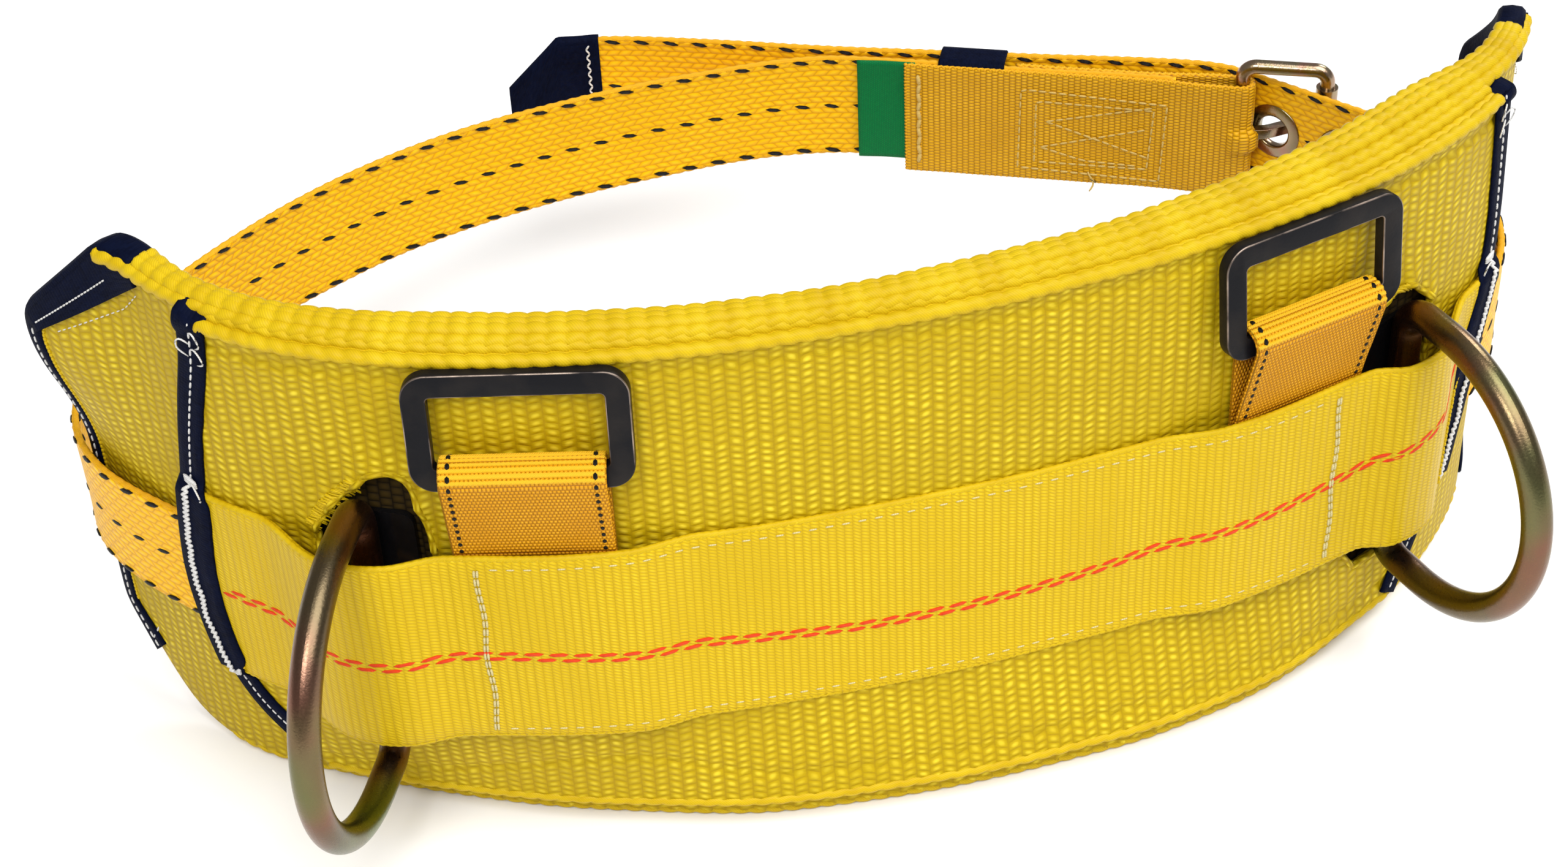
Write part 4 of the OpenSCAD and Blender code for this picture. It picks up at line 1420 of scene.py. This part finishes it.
def buckle_strap():
    """The strap, folded round the heel bar with a slot for the tongue, and its stitching."""
    line = strap_path()
    reach = (high("buckle_strap")[2] - low("buckle_strap")[2]) / 2 - 0.7
    run = lengths(line)
    out = normals_of(line, (0, -1))
    fold_run = float(np.interp(0.0, line[:58, 0], run[:58]))
    start = line[0][0]

    def place(u, v, lift=0.0):
        wave = 0.3 * noise.noise(Vector((u / 12, v / 9, 2)))
        edge_drop = -0.3 * smooth((abs(v) - reach + 2.2) / 2)
        hub = 2.6 * smooth((6 - abs(v)) / 3) * smooth((8 - abs(u - fold_run - 2)) / 5)
        rise = STRAP_T / 2 + wave + edge_drop + hub + lift
        a, b = between(u, run, line) + between(u, run, out) * rise
        return strap_point(a, b, BELT_Z - STRAP_DROP + v)

    def keep(u, v):
        return not (abs(v - STRAP_DROP) < 4.6 and 5 < u - fold_run < 19)

    grid = [[(u, v) for v in np.linspace(-reach, reach, 44)] for u in np.linspace(0, run[-1], 190)]
    sheet("buckle_strap_webbing", STRAP_PAINT, grid, place, STRAP_T, keep,
          ["buckle_strap"])
    edges = Shape()
    for v, hand in ((-reach + 0.2, 1), (reach - 0.2, -1)):
        for u in np.arange(1, run[-1] - 2, 2.3):
            edges.stitch(place(u, v, -0.1), place(u + 2.6, v + 0.5 * hand, -1.9), 0.75)
            edges.stitch(place(u + 1.1, v, -2.0), place(u + 3.4, v + 0.4 * hand, -0.1), 0.7)
    for v in np.arange(-reach, reach, 1.5):
        edges.stitch(place(0.6, v, -0.3), place(0.2, v + 1.2, -0.6), 0.7)
    edges.piece("buckle_strap_edges", BELT_CORD, "buckle_webbing")
    thread_work = Shape()
    for seam in STRAP_SEAMS:
        points = [place(a - start, z, 0.15) for a, z in seam]
        stitch_line(thread_work, points, 3.9, 3.1, 0.4)
    for k, z in enumerate(np.arange(-20, 17, 4.0)):
        sway = 0.8 * (k % 2)
        thread_work.stitch(place(5.2 + sway, z, 0.3), place(6.0 - sway, z + 4.4, 0.3), 0.85)
    tail(thread_work, place(-58 - start, -19, 0.4), ((1, -1, -3), (2, 0, -2), (-3, -1, -3)), 0.4)
    thread_work.piece("buckle_strap_stitching", CREAM, "buckle_webbing")


def size_tag():
    """A plain woven label, tucked under the end of the buckle strap."""
    lo, hi = low("size_tag")[2], high("size_tag")[2]
    near = HALF_BELT + 1.2
    grid = [[(a, z) for z in np.linspace(lo, hi, 24)] for a in np.linspace(-150, -127, 14)]

    def place(a, z):
        bow = 0.8 * smooth((-138 - a) / 12) + 0.3 * math.sin(z / 9)
        return strap_point(a, -near - bow, z)

    sheet("size_tag_label", GREEN, grid, place, 0.7, replaces=["size_tag"])


def keeper_loop():
    """A loop of navy tape round both layers of the belt."""
    lo, hi = low("keeper_loop")[2] + 0.6, high("keeper_loop")[2] - 0.6
    inside, outside = -2.0, 12.4
    corners = [(inside, BELT_Z), (inside, hi), (outside, hi - 1), (outside, lo + 1), (inside, lo),
               (inside, BELT_Z - 0.5)]
    line = spaced(rounded(corners, 2.5, 4), 1.5)[0]
    across = np.array([AHEAD[0], AHEAD[1], 0])
    away = np.array([-AHEAD[1], AHEAD[0], 0])
    centres = on_plane(strap_point(-105, 0, 0), away, line)
    outs = on_plane(0.0, away, normals_of(line, (-1, 0)))
    shape = Shape()
    ribbon(shape, centres, across, outs, 26, 1.2, 20)
    shape.piece("keeper_loop_tape", NAVY, "navy_tape", ["keeper_loop"])


buckle_strap()
size_tag()
keeper_loop()


# ---- Metal and plastic of the CAD parts ----

def coat(node, material):
    """Gives a node of the CAD model its material."""
    item = frame["nodes"][node]
    for slot in item.material_slots:
        slot.material = material
    if not item.material_slots:
        item.data.materials.append(material)
    item.data.shade_smooth()


bevelled("buckle_tongue", "buckle_tongue_rounded", "tongue", BUCKLE_STEEL, BUCKLE_STEEL, 1.2)
for name in SIDES:
    coat(f"d_ring_{name}", ZINC)
    coat(f"d_ring_keeper_{name}", PLASTIC)
for name in ("buckle_frame", "buckle_roller"):
    coat(name, BUCKLE_STEEL)


# ---- Loose threads and frayed edges ----

def fringe():
    """Cut yarn ends along the upper left rims of the openings."""
    shape = Shape()
    for at, opening in zip(D_PLACES, OPENINGS):
        rim = [(at + a, b) for a, b in opening if b > 124 and a < 3]
        for s, z in spaced(rim, 0.75)[0]:
            reach, fall = random.uniform(0.6, 2.8), random.uniform(-2.4, -0.2)
            s += random.uniform(-0.6, 0.6)
            out = outward(s)
            start = outer_point(s - 3.0, z + 1.4) + out * 0.4
            end = outer_point(s + reach, z + fall) - out * 0.5
            middle = (start + end) / 2 + out * 0.4 + (0, 0, random.uniform(0.2, 0.9))
            shape.tube([start, middle, end], random.uniform(0.3, 0.55), 6, (0.9, 1.1, 0.6))
    shape.piece("opening_fringe", CORD, "pad_webbing")


fringe()


# ---- Camera, light and floor ----

def camera():
    """The view of the reference: above and behind the back of the saddle."""
    place = Vector((-199.08, -645.09, 682.67)) * MM
    yaw, pitch, roll = 0.2354, 0.6724, -0.0506
    ahead = Vector((math.sin(yaw) * math.cos(pitch), math.cos(yaw) * math.cos(pitch),
                    -math.sin(pitch)))
    right = Vector((math.cos(yaw), -math.sin(yaw), 0))
    up = right.cross(ahead)
    x = right * math.cos(roll) + up * math.sin(roll)
    y = up * math.cos(roll) - right * math.sin(roll)
    data = bpy.data.cameras.new("camera")
    data.lens = 64.77
    data.clip_start = 0.01
    item = add_object("camera", data)
    item.matrix_world = Matrix((x, y, -ahead)).transposed().to_4x4()
    item.matrix_world.translation = place
    bpy.context.scene.camera = item


def light(name, at, size, power):
    """A round soft light aimed at the saddle."""
    data = bpy.data.lights.new(name, "AREA")
    data.shape = "DISK"
    data.size = size
    data.energy = power
    item = add_object(name, data)
    item.location = at
    item.rotation_euler = (Vector((0, 0.1, 0.1)) - Vector(at)).to_track_quat("-Z", "Y").to_euler()


def studio():
    """A broad sun from the right, two soft lamps, a white sky and a pale floor."""
    world = bpy.data.worlds.new("studio")
    world.use_nodes = True
    background = world.node_tree.nodes["Background"]
    background.inputs["Color"].default_value = (1, 1, 1, 1)
    background.inputs["Strength"].default_value = 0.3
    bpy.context.scene.world = world
    bpy.context.scene.view_settings.view_transform = "Standard"
    sky = bpy.data.lights.new("overhead", "SUN")
    sky.energy = 2.9
    sky.angle = math.radians(50)
    add_object("overhead", sky).rotation_euler = (math.radians(24), math.radians(16), 0)
    light("key_light", (-0.7, -1.1, 1.5), 0.6, 16)
    light("edge_light", (1.3, 0.9, 1.2), 0.6, 10)
    mesh = bpy.data.meshes.new("floor")
    far = 40.0
    mesh.from_pydata([(-far, -far, 0), (far, -far, 0), (far, far, 0), (-far, far, 0)], [],
                     [(0, 1, 2, 3)])
    floor = add_object("floor", mesh)
    paint = Paint("floor", 0.9)
    mesh.materials.append(paint.finish((0.95, 0.95, 0.95, 1)))


camera()
studio()
